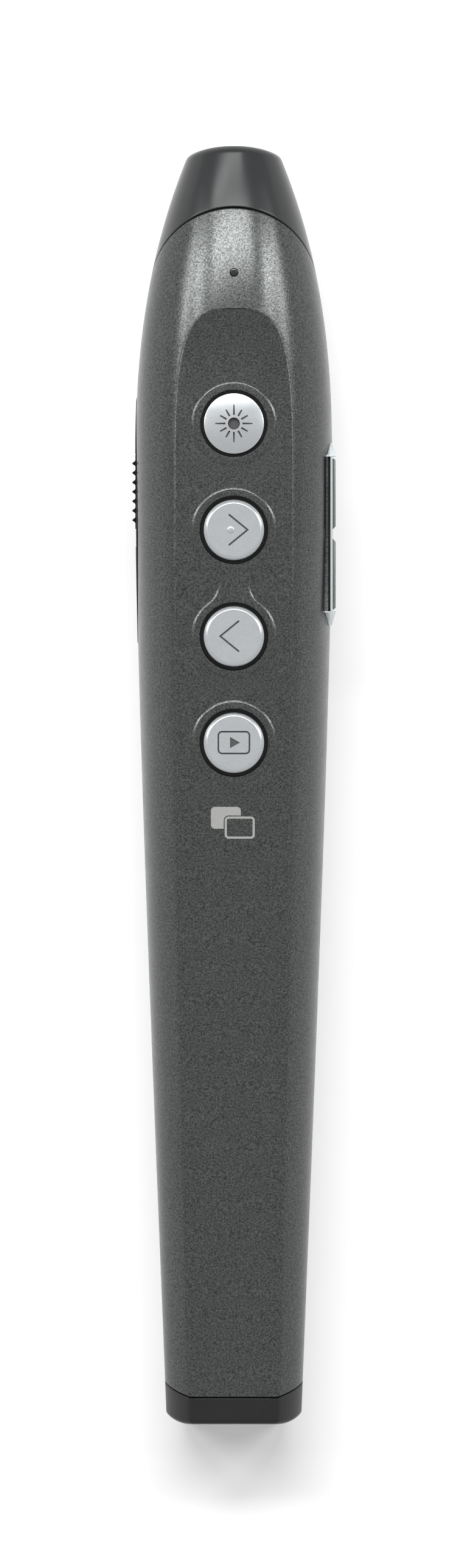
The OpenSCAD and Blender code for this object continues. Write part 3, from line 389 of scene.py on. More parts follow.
def thick_sheet(outer, inner, flip=False):
    """A closed skin: an outer grid, an inner grid of the same shape and a rim between their borders."""
    rows, cols = outer.shape[:2]
    n = rows * cols
    quads = grid_quads(rows, cols)[:, ::-1]
    i, j = np.arange(rows), np.arange(cols)
    last_row, last_col = (rows - 1) * cols, cols - 1
    loop = np.concatenate([j, i[1:] * cols + last_col, last_row + j[-2::-1], i[-2:0:-1] * cols])
    ahead = np.roll(loop, -1)
    rim = np.stack([loop, ahead, ahead + n, loop + n], axis=-1)
    faces = np.concatenate([quads, quads[:, ::-1] + n, rim])
    if flip:
        faces = faces[:, ::-1]
    return np.concatenate([outer.reshape(-1, 3), inner.reshape(-1, 3)]), faces.tolist()


AXES = {"x": (2, 0, 1), "y": (1, 2, 0), "z": (0, 1, 2)}


def loft(rings, axis="z"):
    """A closed solid through rings of equal count, each of (across, up, along), capped at both ends."""
    rings = np.asarray(rings, float)
    rows, cols = rings.shape[:2]
    faces = grid_quads(rows, cols, around=True).tolist()
    faces.append(list(range(cols - 1, -1, -1)))
    faces.append(list(range((rows - 1) * cols, rows * cols)))
    return rings.reshape(-1, 3)[:, AXES[axis]], faces


def ring(outline, level):
    """An outline of (across, up) pairs set at one place along the axis."""
    outline = np.asarray(outline, float)
    return np.column_stack([outline, np.full(len(outline), level)])


def circle(radius, count=96):
    """Points round a circle."""
    a = np.linspace(0, 2 * np.pi, count, endpoint=False)
    return np.column_stack([radius * np.cos(a), radius * np.sin(a)])


def turned(profile, axis="z", count=96):
    """A profile of (radius, place) pairs turned round an axis."""
    return loft([ring(circle(r, count), level) for r, level in profile], axis)


def moved(part, x=0.0, y=0.0, z=0.0):
    """A (points, faces) pair carried to a place."""
    points, faces = part
    return points + np.array([x, y, z]), faces


def on_facet(part, form, y):
    """A part drawn on a level plane, laid on the facet at y: turned by the facet's slope and raised to it."""
    points, faces = part
    a = form.facet_slope(y)
    ahead = points[:, 1] * math.cos(a) - points[:, 2] * math.sin(a)
    up = points[:, 1] * math.sin(a) + points[:, 2] * math.cos(a)
    return np.column_stack([points[:, 0], ahead + y, up + at(form.facet_z, y)]), faces


def carve(obj, part, operation="DIFFERENCE", finish=None):
    """Adds or takes away a solid and leaves plain mesh, with the cut in its own finish where one is given."""
    tool = piece("tool", *part)
    if finish:
        tool.data.materials.append(finish)
    change = obj.modifiers.new("carve", "BOOLEAN")
    change.operation = operation
    change.solver = "EXACT"
    change.material_mode = "TRANSFER" if finish else "INDEX"
    change.object = tool
    settle(obj)
    bpy.data.objects.remove(tool)


def settle(obj):
    """Applies the modifiers of an object to its mesh."""
    depsgraph = bpy.context.evaluated_depsgraph_get()
    old = obj.data
    obj.data = bpy.data.meshes.new_from_object(obj.evaluated_get(depsgraph))
    obj.modifiers.clear()
    bpy.data.meshes.remove(old)


def finish_piece(obj, body, nodes, materials, sharp=30):
    """Shades a piece, gives it its finishes and ties it to its body and its frame nodes."""
    obj.data.shade_smooth()
    obj.data.set_sharp_from_angle(angle=math.radians(sharp))
    for material in materials:
        obj.data.materials.append(material)
    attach(obj, body)
    if nodes:
        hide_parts(*nodes)


def shell_rows(form):
    """Lengthwise stations of a shell's main stretch, closest where the facet closes into the arch.

    In the arch they lie at even steps of the facet's width."""
    widest_share, arch_steps, tail_steps, rise_steps = 0.93, 46, 90, 24
    narrowing = np.linspace(widest_share, LEAST_FACET / form.facet_full, arch_steps)
    arch = form.peak + (form.arch - form.peak) * (1 - narrowing ** ARCH_ROOT) ** (1 / ARCH_POWER)
    tail = np.linspace(form.tail + SHELL_TAIL_MARGIN, form.peak, tail_steps)
    rise = np.linspace(form.peak, arch[0], rise_steps)[1:-1]
    past_arch = form.arch + np.array([0.3, 0.8, 1.5]) * MM
    return np.concatenate([tail, rise, arch, past_arch])


def shell_skin(form, rows, q, side, inset, lip, under=False):
    """A shell's surface from its tail seam to its nose seam, as a grid of places.

    Between the fixed rows each column keeps its q. Towards each seam the rows lean over until the last lies
    on it, closer by the square of what is left. Within a lip of any seam or of the parting line the surface
    is drawn in by a parabola."""
    end_rows = 40
    nose_end = form.along(rows[-1], q, inset, lambda x, z: form.nose_seam_y(z), under)
    tail_end = form.along(rows[0], q, inset, lambda x, z: form.tail_seam_y(z), under)
    bunch = 1 - np.linspace(1, 0, end_rows)[1:] ** 2
    ahead = rows[-1] + (nose_end - rows[-1]) * bunch[:, None]
    behind = rows[0] + (tail_end - rows[0]) * bunch[::-1, None]
    y = np.concatenate([behind, np.repeat(rows[:, None], len(q), 1), ahead])
    x, z = form.point(y, q[None, :], inset, under)
    distance = np.minimum(np.minimum(nose_end - y, y - tail_end), np.abs(z - form.parting))
    x, z = form.point(y, q[None, :], inset + lip_inset(np.maximum(distance, 0), lip), under)
    return np.stack([x * side[None, :], y, z], axis=-1)


def key_places():
    """Lengthwise places of the keys, from the frame."""
    return [middle(f"{name}_button", 1) for name in KEYS]


def pad_edge(height):
    """Draw-in and height along a pad's chamfered edge."""
    return [(0.0, -0.4 * MM), (0.0, 0.1 * height), (0.2 * MM, 0.92 * height), (0.3 * MM, height)]


def round_pad(r, height):
    """A round pad with a softened edge."""
    return loft([ring(circle(r - draw, 128), level) for draw, level in pad_edge(height)])


def joined_pad(r, neck, half_pitch, height):
    """Two round pads joined by a waist of two arcs that touch both circles."""
    def outline(draw):
        r_in, neck_in = r - draw, neck - draw
        fillet = (half_pitch ** 2 + neck_in ** 2 - r_in ** 2) / (2 * (r_in - neck_in))
        lean = math.atan2(half_pitch, neck_in + fillet)
        lobe = np.linspace(-lean, math.pi + lean, 84)
        waist = np.linspace(lean, -lean, 26)[1:-1]
        top = np.column_stack([r_in * np.cos(lobe), half_pitch + r_in * np.sin(lobe)])
        left = np.column_stack([fillet * np.cos(waist) - neck_in - fillet, fillet * np.sin(waist)])
        return np.concatenate([top, left, -top, -left])
    return loft([ring(outline(draw), level) for draw, level in pad_edge(height)])


def flare(r, height):
    """A cone that softens a hole's upper edge."""
    softness = 0.1 * MM
    cone = [(r - softness, height - 2 * softness), (r + softness, height), (r + softness, BORE_HIGH)]
    return turned(cone, count=128)


def hexagon(half, shoulder, half_height, margin):
    """The pointed outline of the rocker's bezel, as (along the length, height) pairs."""
    a, b, c = half + margin, shoulder + margin, half_height + margin
    return [(a, 0), (b, c), (-b, c), (-a, 0), (-b, -c), (b, -c)]


def lens(half, half_height, margin):
    """Outline of two arcs that meet in points, as (along the length, height) pairs."""
    r = (half ** 2 + half_height ** 2) / (2 * half_height)
    tip = math.sqrt((r + margin) ** 2 - (r - half_height) ** 2)
    u = np.linspace(tip, -tip, 40)
    v = np.sqrt((r + margin) ** 2 - u * u) - (r - half_height)
    return np.concatenate([np.column_stack([u, v])[:-1], np.column_stack([-u, -v])[:-1]])


def prism(outline, start, end, axis):
    """A straight solid with this outline."""
    return loft([ring(outline, start), ring(outline, end)], axis)


def oblong(u0, u1, v0, v1):
    """A rectangle's outline."""
    return [(u0, v0), (u1, v0), (u1, v1), (u0, v1)]


def flank_openings(form, obj, finish):
    """Cuts the bezel's pointed slot on the right, and the panel's lens and the slider's slot on the left."""
    gap, slot_depth_x, recess_depth, window_depth_x = 0.1 * MM, 7.6 * MM, 0.7 * MM, 10 * MM
    half, half_height = half_size("rocker_bezel", 1), half_size("rocker_bezel", 2)
    slot = prism(hexagon(half, half - BEZEL_POINT, half_height, gap), slot_depth_x, PAST_FLANK, "x")
    carve(obj, moved(slot, y=middle("rocker_bezel", 1), z=middle("rocker_bezel", 2)), finish=finish)
    eye = lens(half_size("slider_panel", 1), PANEL_HALF_HEIGHT, gap)
    recess = prism(eye, -PAST_FLANK, recess_depth - form.half_w, "x")
    carve(obj, moved(recess, y=middle("slider_panel", 1), z=form.parting), finish=finish)
    reach = SLIDER_HALF_HEIGHT + SLOT_GAP
    rear, front = low("power_slider", 1) - SLIDER_THROW, high("power_slider", 1) - 0.48 * MM
    window = prism(oblong(rear, front, -reach, reach), -PAST_FLANK, -window_depth_x, "x")
    carve(obj, moved(window, z=form.parting), finish=finish)


def build_upper_shell(scene):
    """Skin between the seams, with raised pads, holes for the keys and light pipe, and the flank openings.

    The bores' counts of sides keep their corners off those of the flares and off the middle line."""
    form, body, controls = Form(scene.clicker_body), scene.clicker_body, scene.clicker_controls
    rows = shell_rows(form)
    q, side = columns(flank_steps=30, edge_steps=5, flat_steps=7)
    outer = shell_skin(form, rows, q, side, 0, body.lip)
    inner = shell_skin(form, rows, q, side, body.skin, 0)
    obj = piece("upper_shell_skin", *thick_sheet(outer, inner))
    obj.data.materials.append(finish_of(scene, "metallic_grey_paint"))
    black = finish_of(scene, "black_moulded_plastic")
    laser, forward, back, screen = key_places()
    pad_r, pad_height = controls.pad_d / 2, controls.pad_height
    for y in (laser, screen):
        carve(obj, on_facet(round_pad(pad_r, pad_height), form, y), "UNION")
    twin = joined_pad(pad_r, controls.pad_neck / 2, (forward - back) / 2, pad_height)
    carve(obj, on_facet(twin, form, (forward + back) / 2), "UNION")
    r = controls.key_d / 2 + controls.key_gap
    pipe_r = half_size("light_pipe", 0) - PIPE_COLLAR + 0.05 * MM
    carve(obj, joined([on_facet(flare(r, pad_height), form, y) for y in key_places()]))
    bore = turned([(r, BORE_LOW), (r, BORE_HIGH)], count=122)
    small_bore = turned([(pipe_r, BORE_LOW), (pipe_r, BORE_HIGH)], count=48)
    bores = [on_facet(bore, form, y) for y in key_places()]
    bores.append(on_facet(small_bore, form, middle("light_pipe", 1)))
    carve(obj, joined(bores), finish=black)
    flank_openings(form, obj, black)
    finish_piece(obj, "case", ["upper_shell"], [])


def case_screw_places(form):
    """Places of the two front case screws and the rear one."""
    front_x, front_y = 7.2 * MM, form.laser_y + 5.7 * MM
    return [(front_x, front_y), (-front_x, front_y), (0.0, low("battery_tray", 1) - 3 * MM)]


def build_lower_shell(scene):
    """Skin under the parting line, with the door's opening and the screws' counterbores."""
    form, body = Form(scene.clicker_body), scene.clicker_body
    nose_margin, row_steps = 27 * MM, 90
    rows = np.linspace(form.tail + SHELL_TAIL_MARGIN, form.nose - nose_margin, row_steps)
    q, side = columns(flank_steps=18, edge_steps=5, flat_steps=6)
    outer = shell_skin(form, rows, q, side, 0, body.lip, under=True)
    inner = shell_skin(form, rows, q, side, body.skin, 0, under=True)
    obj = piece("lower_shell_skin", *thick_sheet(outer, inner, flip=True))
    obj.data.materials.append(finish_of(scene, "metallic_grey_paint"))
    black = finish_of(scene, "black_moulded_plastic")
    gap, hook_room, below, door_room, bore = 0.12 * MM, 1.1 * MM, -1 * MM, 2.2 * MM, 1.6 * MM
    opening = oblong(low("battery_door", 0) - gap, high("battery_door", 0) + gap,
        low("battery_door", 1) - gap, high("battery_door", 1) - hook_room)
    carve(obj, prism(opening, below, door_room, "z"))
    bores = []
    for x, y in case_screw_places(form):
        profile = [(bore, below), (bore, SCREW_SINK + at(form.under_z, y))]
        bores.append(moved(turned(profile, count=47), x, y))
    carve(obj, joined(bores), finish=black)
    flank_openings(form, obj, black)
    finish_piece(obj, "case", ["lower_shell"], [])


def build_nose_cap(scene):
    """A closed shell: seam lip, crown and flanks, softened front edge, front wall, window bore and inside."""
    form, body = Form(scene.clicker_body), scene.clicker_body
    over_q, over_side = columns(flank_steps=28, edge_steps=5, flat_steps=2)
    under_q, under_side = columns(flank_steps=16, edge_steps=5, flat_steps=4)
    soft_front, wall, seam_guess = 0.8 * MM, 1.1 * MM, form.nose_seam - 5 * MM
    gap = 0.1 * MM / math.cos(math.radians(45))

    def half_ring(q, side, under, inset, steps, front_draw):
        """Rows of one half section from the slanted seam to the bulging front, drawn in by a quarter circle.

        Without a draw at the front it is the inside, which has neither the rounded edge nor the lip."""
        start = form.along(seam_guess, q, inset, lambda x, z: form.nose_seam_y(z), under) + gap
        widest = form.nose_half - front_draw
        end = form.along(form.nose_front, q, inset + front_draw,
            lambda x, z: form.nose_front_y(np.minimum(np.abs(x), widest)), under) - inset
        y = start + (end - start) * steps[:, None]
        draw = 0 * y
        if front_draw:
            over = np.clip(1 - (end - y) / soft_front, 0, 1)
            draw = soft_front * (1 - np.sqrt(1 - over * over)) + lip_inset(y - start, body.lip)
        x, z = form.point(y, q[None, :], inset + draw, under)
        return np.stack([x * side[None, :], y, z], axis=-1)

    def whole_ring(inset, steps, front_draw):
        """The upper and the lower half section as rings all round."""
        top = half_ring(over_q, over_side, False, inset, steps, front_draw)
        bottom = half_ring(under_q, under_side, True, inset, steps, front_draw)
        return np.concatenate([top, bottom[:, -2:0:-1]], axis=1)

    a = np.radians(np.linspace(0, 90, 9))
    outer_steps = np.concatenate([np.linspace(0, 1, 60) ** 1.3 * 0.94, 0.94 + 0.06 * np.sin(a[1:])])
    inner_steps = np.linspace(1, 0, 24)
    outer, inner = whole_ring(0, outer_steps, soft_front), whole_ring(wall, inner_steps, 0)
    window_z, window_y = middle("laser_window", 2), low("laser_window", 1)
    direction = np.arctan2(outer[-1][:, 2] - window_z, outer[-1][:, 0])
    window_r = half_size("laser_window", 0) + 0.05 * MM
    chamfer_r, ledge_r = window_r + 0.15 * MM, window_r - 0.6 * MM
    beyond_nose = 1.0

    def round_row(r, y):
        """A circle round the window at one place, or on the bulging front where that comes first."""
        x = r * np.cos(direction)
        return np.column_stack([x, np.minimum(form.nose_front_y(x), y), window_z + r * np.sin(direction)])

    face = []
    for s in np.linspace(0, 1, 8)[1:-1, None]:
        row = outer[-1] * (1 - s) + round_row(chamfer_r, beyond_nose) * s
        row[:, 1] = form.nose_front_y(row[:, 0])
        face.append(row)
    bore = [round_row(chamfer_r, beyond_nose), round_row(window_r, form.nose - 0.16 * MM),
        round_row(window_r, window_y), round_row(ledge_r, window_y), round_row(ledge_r, inner[0][:, 1].min())]
    rows = np.concatenate([outer, np.array(face), np.array(bore), inner])
    n_rows, n_cols = rows.shape[:2]
    faces = grid_quads(n_rows, n_cols, around=True, lengthwise=True)[:, ::-1]
    obj = piece("nose_cap_shell", rows, faces.tolist())
    finish_piece(obj, "case", ["nose_cap"], [finish_of(scene, "smoke_plastic_gloss")])


def build_receiver_cap(scene):
    """The tail cap: flanks from the slanted seam to a rounded rear face, with a pocket for the plug."""
    form, body = Form(scene.clicker_body), scene.clicker_body
    over_q, over_side = columns(flank_steps=24, edge_steps=5, flat_steps=6)
    under_q, under_side = columns(flank_steps=14, edge_steps=5, flat_steps=6)
    soft_rear = 0.5 * MM
    gap = 0.12 * MM
    a = np.radians(np.linspace(90, 0, 8))
    steps = np.concatenate([0.1 * (1 - np.sin(a[:-1])), 0.1 + 0.9 * np.linspace(0, 1, 26)])

    def half_ring(q, side, under):
        """Rows of one half section from the rear, drawn in by a quarter circle, to the slanted seam."""
        seam = form.along(form.tail_seam, q, 0.0, lambda x, z: form.tail_seam_y(z), under) - gap
        rear = form.along(form.tail, q, soft_rear, lambda x, z: form.tail_rear_y(x), under)
        y = rear + (seam - rear) * steps[:, None]
        over = np.clip(1 - (y - rear) / soft_rear, 0, 1)
        draw = soft_rear * (1 - np.sqrt(1 - over * over))
        x, z = form.point(y, q[None, :], draw + lip_inset(seam - y, body.lip), under)
        return np.stack([x * side[None, :], y, z], axis=-1)

    top, bottom = half_ring(over_q, over_side, False), half_ring(under_q, under_side, True)
    rows = np.concatenate([top, bottom[:, -2:0:-1]], axis=1)
    centre_z = middle("plug_shell", 2)

    def towards_middle(row, share, place):
        """A ring's row drawn towards the cap's middle, on the given surface."""
        x, z = row[:, 0] * share, centre_z + (row[:, 2] - centre_z) * share
        return np.column_stack([x, place(x, z), z])

    rear_rows = [towards_middle(rows[0], share, lambda x, z: form.tail_rear_y(x))
        for share in (0.02, 0.3, 0.6, 0.85)]
    seam_rows = [towards_middle(rows[-1], share, lambda x, z: form.tail_seam_y(z) - gap)
        for share in (0.85, 0.5, 0.02)]
    rows = np.concatenate([np.array(rear_rows), rows, np.array(seam_rows)])
    n_rows, n_cols = rows.shape[:2]
    faces = grid_quads(n_rows, n_cols, around=True)[:, ::-1].tolist()
    faces.append(list(range(n_cols)))
    faces.append(list(range(n_rows * n_cols - 1, (n_rows - 1) * n_cols - 1, -1)))
    obj = piece("receiver_cap_shell", rows, faces)
    plug_gap, past_cap = 0.1 * MM, form.tail + 20 * MM
    x, z = high("plug_shell", 0) + plug_gap, half_size("plug_shell", 2) + plug_gap
    pocket = prism(oblong(-z, z, -x, x), low("plug_shell", 1), past_cap, "y")
    carve(obj, moved(pocket, z=centre_z))
    black = finish_of(scene, "black_moulded_plastic")
    finish_piece(obj, "receiver", ["receiver_cap"], [black])


# The third finish paints the engraved grooves and the laser key's hollow near black: painted shade.
KEY_FINISHES = ("satin_key_silver", "polished_key_rim", "engraved_key_silver", "black_moulded_plastic")


def key_body(form, controls, y, dome=0.0):
    """A key turned round its middle: black stem and flange, satin side, polished bevel and satin top.

    Where a dome is asked for, the top is a spherical cap. Gives the solid, the number of each face's finish
    and the height of its top."""
    r, bevel, sides = controls.key_d / 2, controls.bevel, 96
    surface = at(form.facet_z, y)
    top = surface + controls.key_proud
    under = surface - 1.0 * MM
    stem_r, flange, flange_low = 1.2 * MM, r + 0.85 * MM, under - 0.6 * MM
    stem = [(stem_r, high("laser_plunger", 2)), (stem_r, flange_low), (flange, flange_low), (flange, under),
        (r, under)]
    if dome:
        shoulder, rim = top - dome, r - 0.12 * MM
        edge = [(r, shoulder - 0.12 * MM), (r - 0.04 * MM, shoulder - 0.03 * MM), (rim, shoulder)]
        ball = (rim * rim + dome * dome) / (2 * dome)
        cap = [(s, top - ball + math.sqrt(ball * ball - s * s)) for s in np.linspace(rim, 0.02 * rim, 26)[1:]]
    else:
        edge = [(r, top - 0.36 * MM), (r - 0.03 * MM, top - 0.31 * MM),
            (r - bevel + 0.06 * MM, top - 0.03 * MM), (r - bevel, top)]
        cap = [(r - bevel - 0.05 * MM, top)]
    solid = turned(stem + edge + cap, count=sides)
    silver, rim_finish, _, black = range(len(KEY_FINISHES))
    rings = [sides * (len(stem) - 1), sides, sides * (len(edge) - 1), sides * len(cap), 1, 1]
    bands = np.repeat([black, silver, rim_finish, silver, black, silver], rings)
    return moved(solid, y=y), bands, top


def stroke(points, half):
    """Outline of a bent line of even width, with a mitre at each bend."""
    p = np.asarray(points, float)
    step = np.diff(p, axis=0)
    step /= np.linalg.norm(step, axis=1)[:, None]
    normal = np.column_stack([-step[:, 1], step[:, 0]])
    before, after = np.vstack([normal[:1], normal]), np.vstack([normal, normal[-1:]])
    mitre = (before + after) / (1 + np.sum(before * after, axis=1))[:, None]
    return np.concatenate([p - half * mitre, (p + half * mitre)[::-1]])


def groove(points, half, top, depth):
    """A cutter for an engraved line whose walls lean outwards."""
    lean = 0.4 * half
    levels = [(half - lean, top - depth), (half, top), (half + lean, top + depth)]
    return loft([ring(stroke(points, width), level) for width, level in levels])


def rounded_path(half_x, half_y, r):
    """A rounded rectangle's line, its corners quarter circles."""
    a = np.linspace(0, np.pi / 2, 7)
    corner = np.column_stack([half_x - r + r * np.cos(a), half_y - r + r * np.sin(a)])
    turn = [corner, (corner * [-1, 1])[::-1], -corner, (corner * [1, -1])[::-1]]
    return np.concatenate(turn)


def band_between(outer, inner, low_z, high_z):
    """A closed band between two outlines of equal count, from one height to another."""
    rows = np.array([ring(outer, low_z), ring(outer, high_z), ring(inner, high_z), ring(inner, low_z)])
    faces = grid_quads(4, rows.shape[1], around=True, lengthwise=True)
    return rows.reshape(-1, 3), faces.tolist()


def key_marks(name, controls, top):
    """Cutters for one key's mark, drawn round the key's middle.

    The laser key has a round hollow with twelve rays, longer at the quarters; the screen key has a rounded
    frame round a triangle; the other two have an arrow of two strokes."""
    half, depth = controls.mark_line / 2, controls.mark_depth
    if name == "laser":
        ray_start, long_ray, short_ray = 1.0 * MM, 2.2 * MM, 1.86 * MM
        ray_top, ray_depth = top - 0.06 * MM, 0.16 * MM
        rays = []
        for k in range(12):
            a = math.radians(30 * k)
            line = np.array([[ray_start, 0], [long_ray if k % 3 == 0 else short_ray, 0]])
            turn = np.array([[math.cos(a), math.sin(a)], [-math.sin(a), math.cos(a)]])
            rays.append(groove(line @ turn, half, ray_top, ray_depth))
        hollow = [(0.6 * MM, top - 0.45 * MM), (0.75 * MM, top + 0.2 * MM)]
        return [joined(rays + [turned(hollow, count=48)])]
    if name == "screen":
        half_x, half_y, corner = 1.92 * MM, 1.375 * MM, 0.54 * MM
        outer = rounded_path(half_x, half_y, corner)
        inner = rounded_path(half_x - 2 * half, half_y - 2 * half, corner - 2 * half)
        play = [(-0.45 * MM, -0.65 * MM), (0.7 * MM, 0), (-0.45 * MM, 0.65 * MM)]
        start, end = top - depth, top + depth
        return [band_between(outer, inner, start, end), prism(play, start, end, "z")]
    way = 1 if name == "forward" else -1
    arrow = [(-0.6 * MM * way, -1.8 * MM), (1.6 * MM * way, 0), (-0.6 * MM * way, 1.8 * MM)]
    return [groove(arrow[::way], half, top, depth)]


def build_keys(scene):
    """Four satin keys with polished rims and engraved marks: starburst, two arrows and a play screen, whose
    grooves are painted near black as painted shade.
    """
    form, controls = Form(scene.clicker_body), scene.clicker_controls
    for name, y in zip(KEYS, key_places()):
        solid, bands, top = key_body(form, controls, y, controls.dome if name == "laser" else 0.0)
        obj = piece(f"{name}_key", *solid)
        for look in KEY_FINISHES:
            obj.data.materials.append(finish_of(scene, look))
        obj.data.polygons.foreach_set("material_index", np.asarray(bands, np.int32))
        for mark in key_marks(name, controls, top):
            # The cut's walls and floor take a near-black finish: painted shade in the grooves.
            carve(obj, moved(mark, y=y), finish=finish_of(scene, "engraved_key_silver"))
        finish_piece(obj, f"{name}_key", [f"{name}_button"], [])
    dot_r, dot_height, dot_x, sunk = 0.43 * MM, 0.1 * MM, -0.37 * MM, -0.05 * MM
    quarter = np.radians(np.linspace(0, 88, 8))
    profile = [(dot_r, sunk)] + [(dot_r * math.cos(a), dot_height * math.sin(a)) for a in quarter]
    y = middle("forward_button", 1)
    top = at(form.facet_z, y) + controls.key_proud
    dot = piece("forward_dot", *moved(turned(profile, count=40), dot_x, y, top))
    finish_piece(dot, "forward_key", [], [finish_of(scene, "satin_key_silver")])


def softened(outline_at, levels, r):
    """Rings through a solid whose first and last edges are quarter circles, from outline_at(draw)."""
    a = np.linspace(0, np.pi / 2, 5)
    draw = r * (1 - np.sin(a))
    rise = r * (1 - np.cos(a))
    rings = [ring(outline_at(d), levels[0] + up) for d, up in zip(draw, rise)]
    return rings + [ring(outline_at(d), levels[1] - up) for d, up in zip(draw[::-1], rise[::-1])]


def flank_x(form, y, z):
    """Half width of the body's surface at a place on its flank, from the two superellipses."""
    y, z = np.broadcast_arrays(np.asarray(y, float), np.asarray(z, float))
    w = form.half_width(y)
    over, p_over = form.facet_z(y) - form.parting, form.flank_power(y)
    under, p_under = form.parting - form.under_z(y), np.full(y.shape, UNDER_POWER)
    above = z >= form.parting
    share = np.where(above, form.facet_half(y) / w, UNDER_FLAT_SHARE)
    p = np.where(above, p_over, p_under)
    rise = np.where(above, over, under) / super_height(share, p)
    return w * super_height(np.abs(z - form.parting) / rise, p)


def build_panel(scene):
    """The black panel: a lens-shaped skin on the left flank, its border rounded down, with the slider's slot.

    Across its length it lies between two arcs that meet in points; h is half their distance."""
    form = Form(scene.clicker_body)
    middle_y, half = middle("slider_panel", 1), half_size("slider_panel", 1)
    reach, proud, depth = PANEL_HALF_HEIGHT, 0.06 * MM, 0.6 * MM
    r = (half ** 2 + reach ** 2) / (2 * reach)
    u = half * np.sin(np.radians(np.linspace(-88, 88, 90)))
    h = np.sqrt(r * r - u * u) - (r - reach)
    t = np.sin(np.radians(np.linspace(-90, 90, 25)))
    y = np.repeat((middle_y + u)[:, None], len(t), 1)
    z = form.parting + h[:, None] * t[None, :]
    edge = np.minimum(h[:, None] * (1 - np.abs(t[None, :])), (half - np.abs(u))[:, None])
    border = lip_inset(edge, 0.12 * MM)
    surface = flank_x(form, y, z)
    outer = np.stack([-(surface + proud - border), y, z], axis=-1)
    inner = np.stack([-(surface - depth), y, z], axis=-1)
    obj = piece("slider_panel_skin", *thick_sheet(outer, inner))
    obj.data.materials.append(finish_of(scene, "matt_black_plastic"))
    reach = SLIDER_HALF_HEIGHT + SLOT_GAP
    rear = low("power_slider", 1) - SLIDER_THROW + SLIDER_FLANGE - SLOT_GAP
    front = high("power_slider", 1) - SLIDER_FLANGE + SLOT_GAP
    slot = moved(prism(oblong(rear, front, -reach, reach), -PAST_FLANK, -9 * MM, "x"), z=form.parting)
    carve(obj, slot, finish=finish_of(scene, "black_moulded_plastic"))
    finish_piece(obj, "case", ["slider_panel"], [])


def build_slider(scene):
    """The power slider: a block with slim ribs, each the cube of a raised cosine, over a flat flange."""
    form, controls = Form(scene.clicker_body), scene.clicker_controls
    margin, tall = SLIDER_FLANGE, SLIDER_HALF_HEIGHT
    y0, y1 = low("power_slider", 1) + margin, high("power_slider", 1) - margin
    inner, crest, skin = -high("power_slider", 0), -low("power_slider", 0), form.half_w + 0.04 * MM
    pitch, steps_per_rib, flange_depth = 1.11 * MM, 26, 0.5 * MM
    middle_y = (y0 + y1) / 2
    y = np.linspace(y1, y0, controls.ribs * steps_per_rib)
    phase = (y - middle_y) / pitch
    inside = np.abs(phase) < controls.ribs / 2
    even_shift = (controls.ribs + 1) % 2 / 2
    swell = np.where(inside, (0.5 + 0.5 * np.cos(2 * np.pi * (phase + even_shift))) ** 3, 0)
    x = skin + (crest - skin) * swell

    def outline(draw):
        """The ribbed side and the flat back, drawn in all round."""
        ends = np.clip(y, y0 + draw, y1 - draw)
        side = np.column_stack([-(x - draw), ends])
        return np.vstack([[(-inner, y0 + draw), (-inner, y1 - draw)], side])

    low_z, high_z = form.parting - tall, form.parting + tall
    body = loft(softened(outline, (low_z, high_z), 0.25 * MM))
    flange = oblong(y0 - margin, y1 + margin, low_z - margin, high_z + margin)
    obj = piece("power_slider_body", *joined([body, prism(flange, -inner - flange_depth, -inner, "x")]))
    finish_piece(obj, "slider", ["power_slider"], [finish_of(scene, "matt_black_plastic")])


def build_bezel(scene):
    """The chrome bezel: two pointed ends joined by slim rails above and below the keys.

    A groove runs along each rail, its walls painted black as painted shade, and the rail's foot is painted
    like the shell."""
    form = Form(scene.clicker_body)
    y, z = middle("rocker_bezel", 1), middle("rocker_bezel", 2)
    half, tall = half_size("rocker_bezel", 1), half_size("rocker_bezel", 2)
    shoulder, open_half = half - BEZEL_POINT, half - 1.65 * MM
    inner, outer = form.half_w - 1.25 * MM, form.half_w + BEZEL_PROUD
    tip, rail = form.half_w - 0.05 * MM, form.half_w + 0.05 * MM
    key_half, past = tall - 0.3 * MM, 3 * MM

    def rails(heights, start, end):
        """Bars along the opening between these (low, high) pairs, from one depth to another."""
        bars = [prism(oblong(-open_half, open_half, a, b), start, end, "x") for a, b in heights]
        return moved(joined(bars), y=y, z=z)

    plan = [(inner, -half), (tip, -half), (outer, -shoulder), (outer, -open_half), (rail, -open_half),
        (rail, open_half), (outer, open_half), (outer, shoulder), (tip, half), (inner, half)]
    obj = piece("rocker_bezel_frame", *moved(prism(plan, z - past, z + past, "z"), y=y))
    obj.data.materials.append(finish_of(scene, "chrome_trim_finish"))
    hexagonal = prism(hexagon(half, shoulder, tall, 0), inner - 1 * MM, outer + 1 * MM, "x")
    carve(obj, moved(hexagonal, y=y, z=z), "INTERSECT")
    carve(obj, rails([(-key_half, key_half)], inner - 2 * MM, outer + 2 * MM))
    groove_middle, groove_half, foot_half = tall - 0.15 * MM, 0.4 * MM, 0.02 * MM
    grooves = [(s * groove_middle - groove_half, s * groove_middle + groove_half) for s in (-1, 1)]
    # The grooves' walls take the black finish: painted shade in the gap along each rail.
    dark = rails(grooves, form.half_w - 0.48 * MM, form.half_w - 0.22 * MM)
    carve(obj, dark, finish=finish_of(scene, "black_moulded_plastic"))
    feet = [(s * tall - foot_half, s * tall + foot_half) for s in (-1, 1)]
    painted = rails(feet, inner - 1 * MM, form.half_w - 0.47 * MM)
    carve(obj, painted, finish=finish_of(scene, "metallic_grey_paint"))
    soften(obj, 0.05 * MM)
    finish_piece(obj, "case", ["rocker_bezel"], [])


def soften(obj, width):
    """Rounds the edges of a piece that meet at more than 30 degrees."""
    change = obj.modifiers.new("soften", "BEVEL")
    change.width = width
    change.segments = 3
    change.limit_method = "ANGLE"
    change.angle_limit = math.radians(30)
    settle(obj)


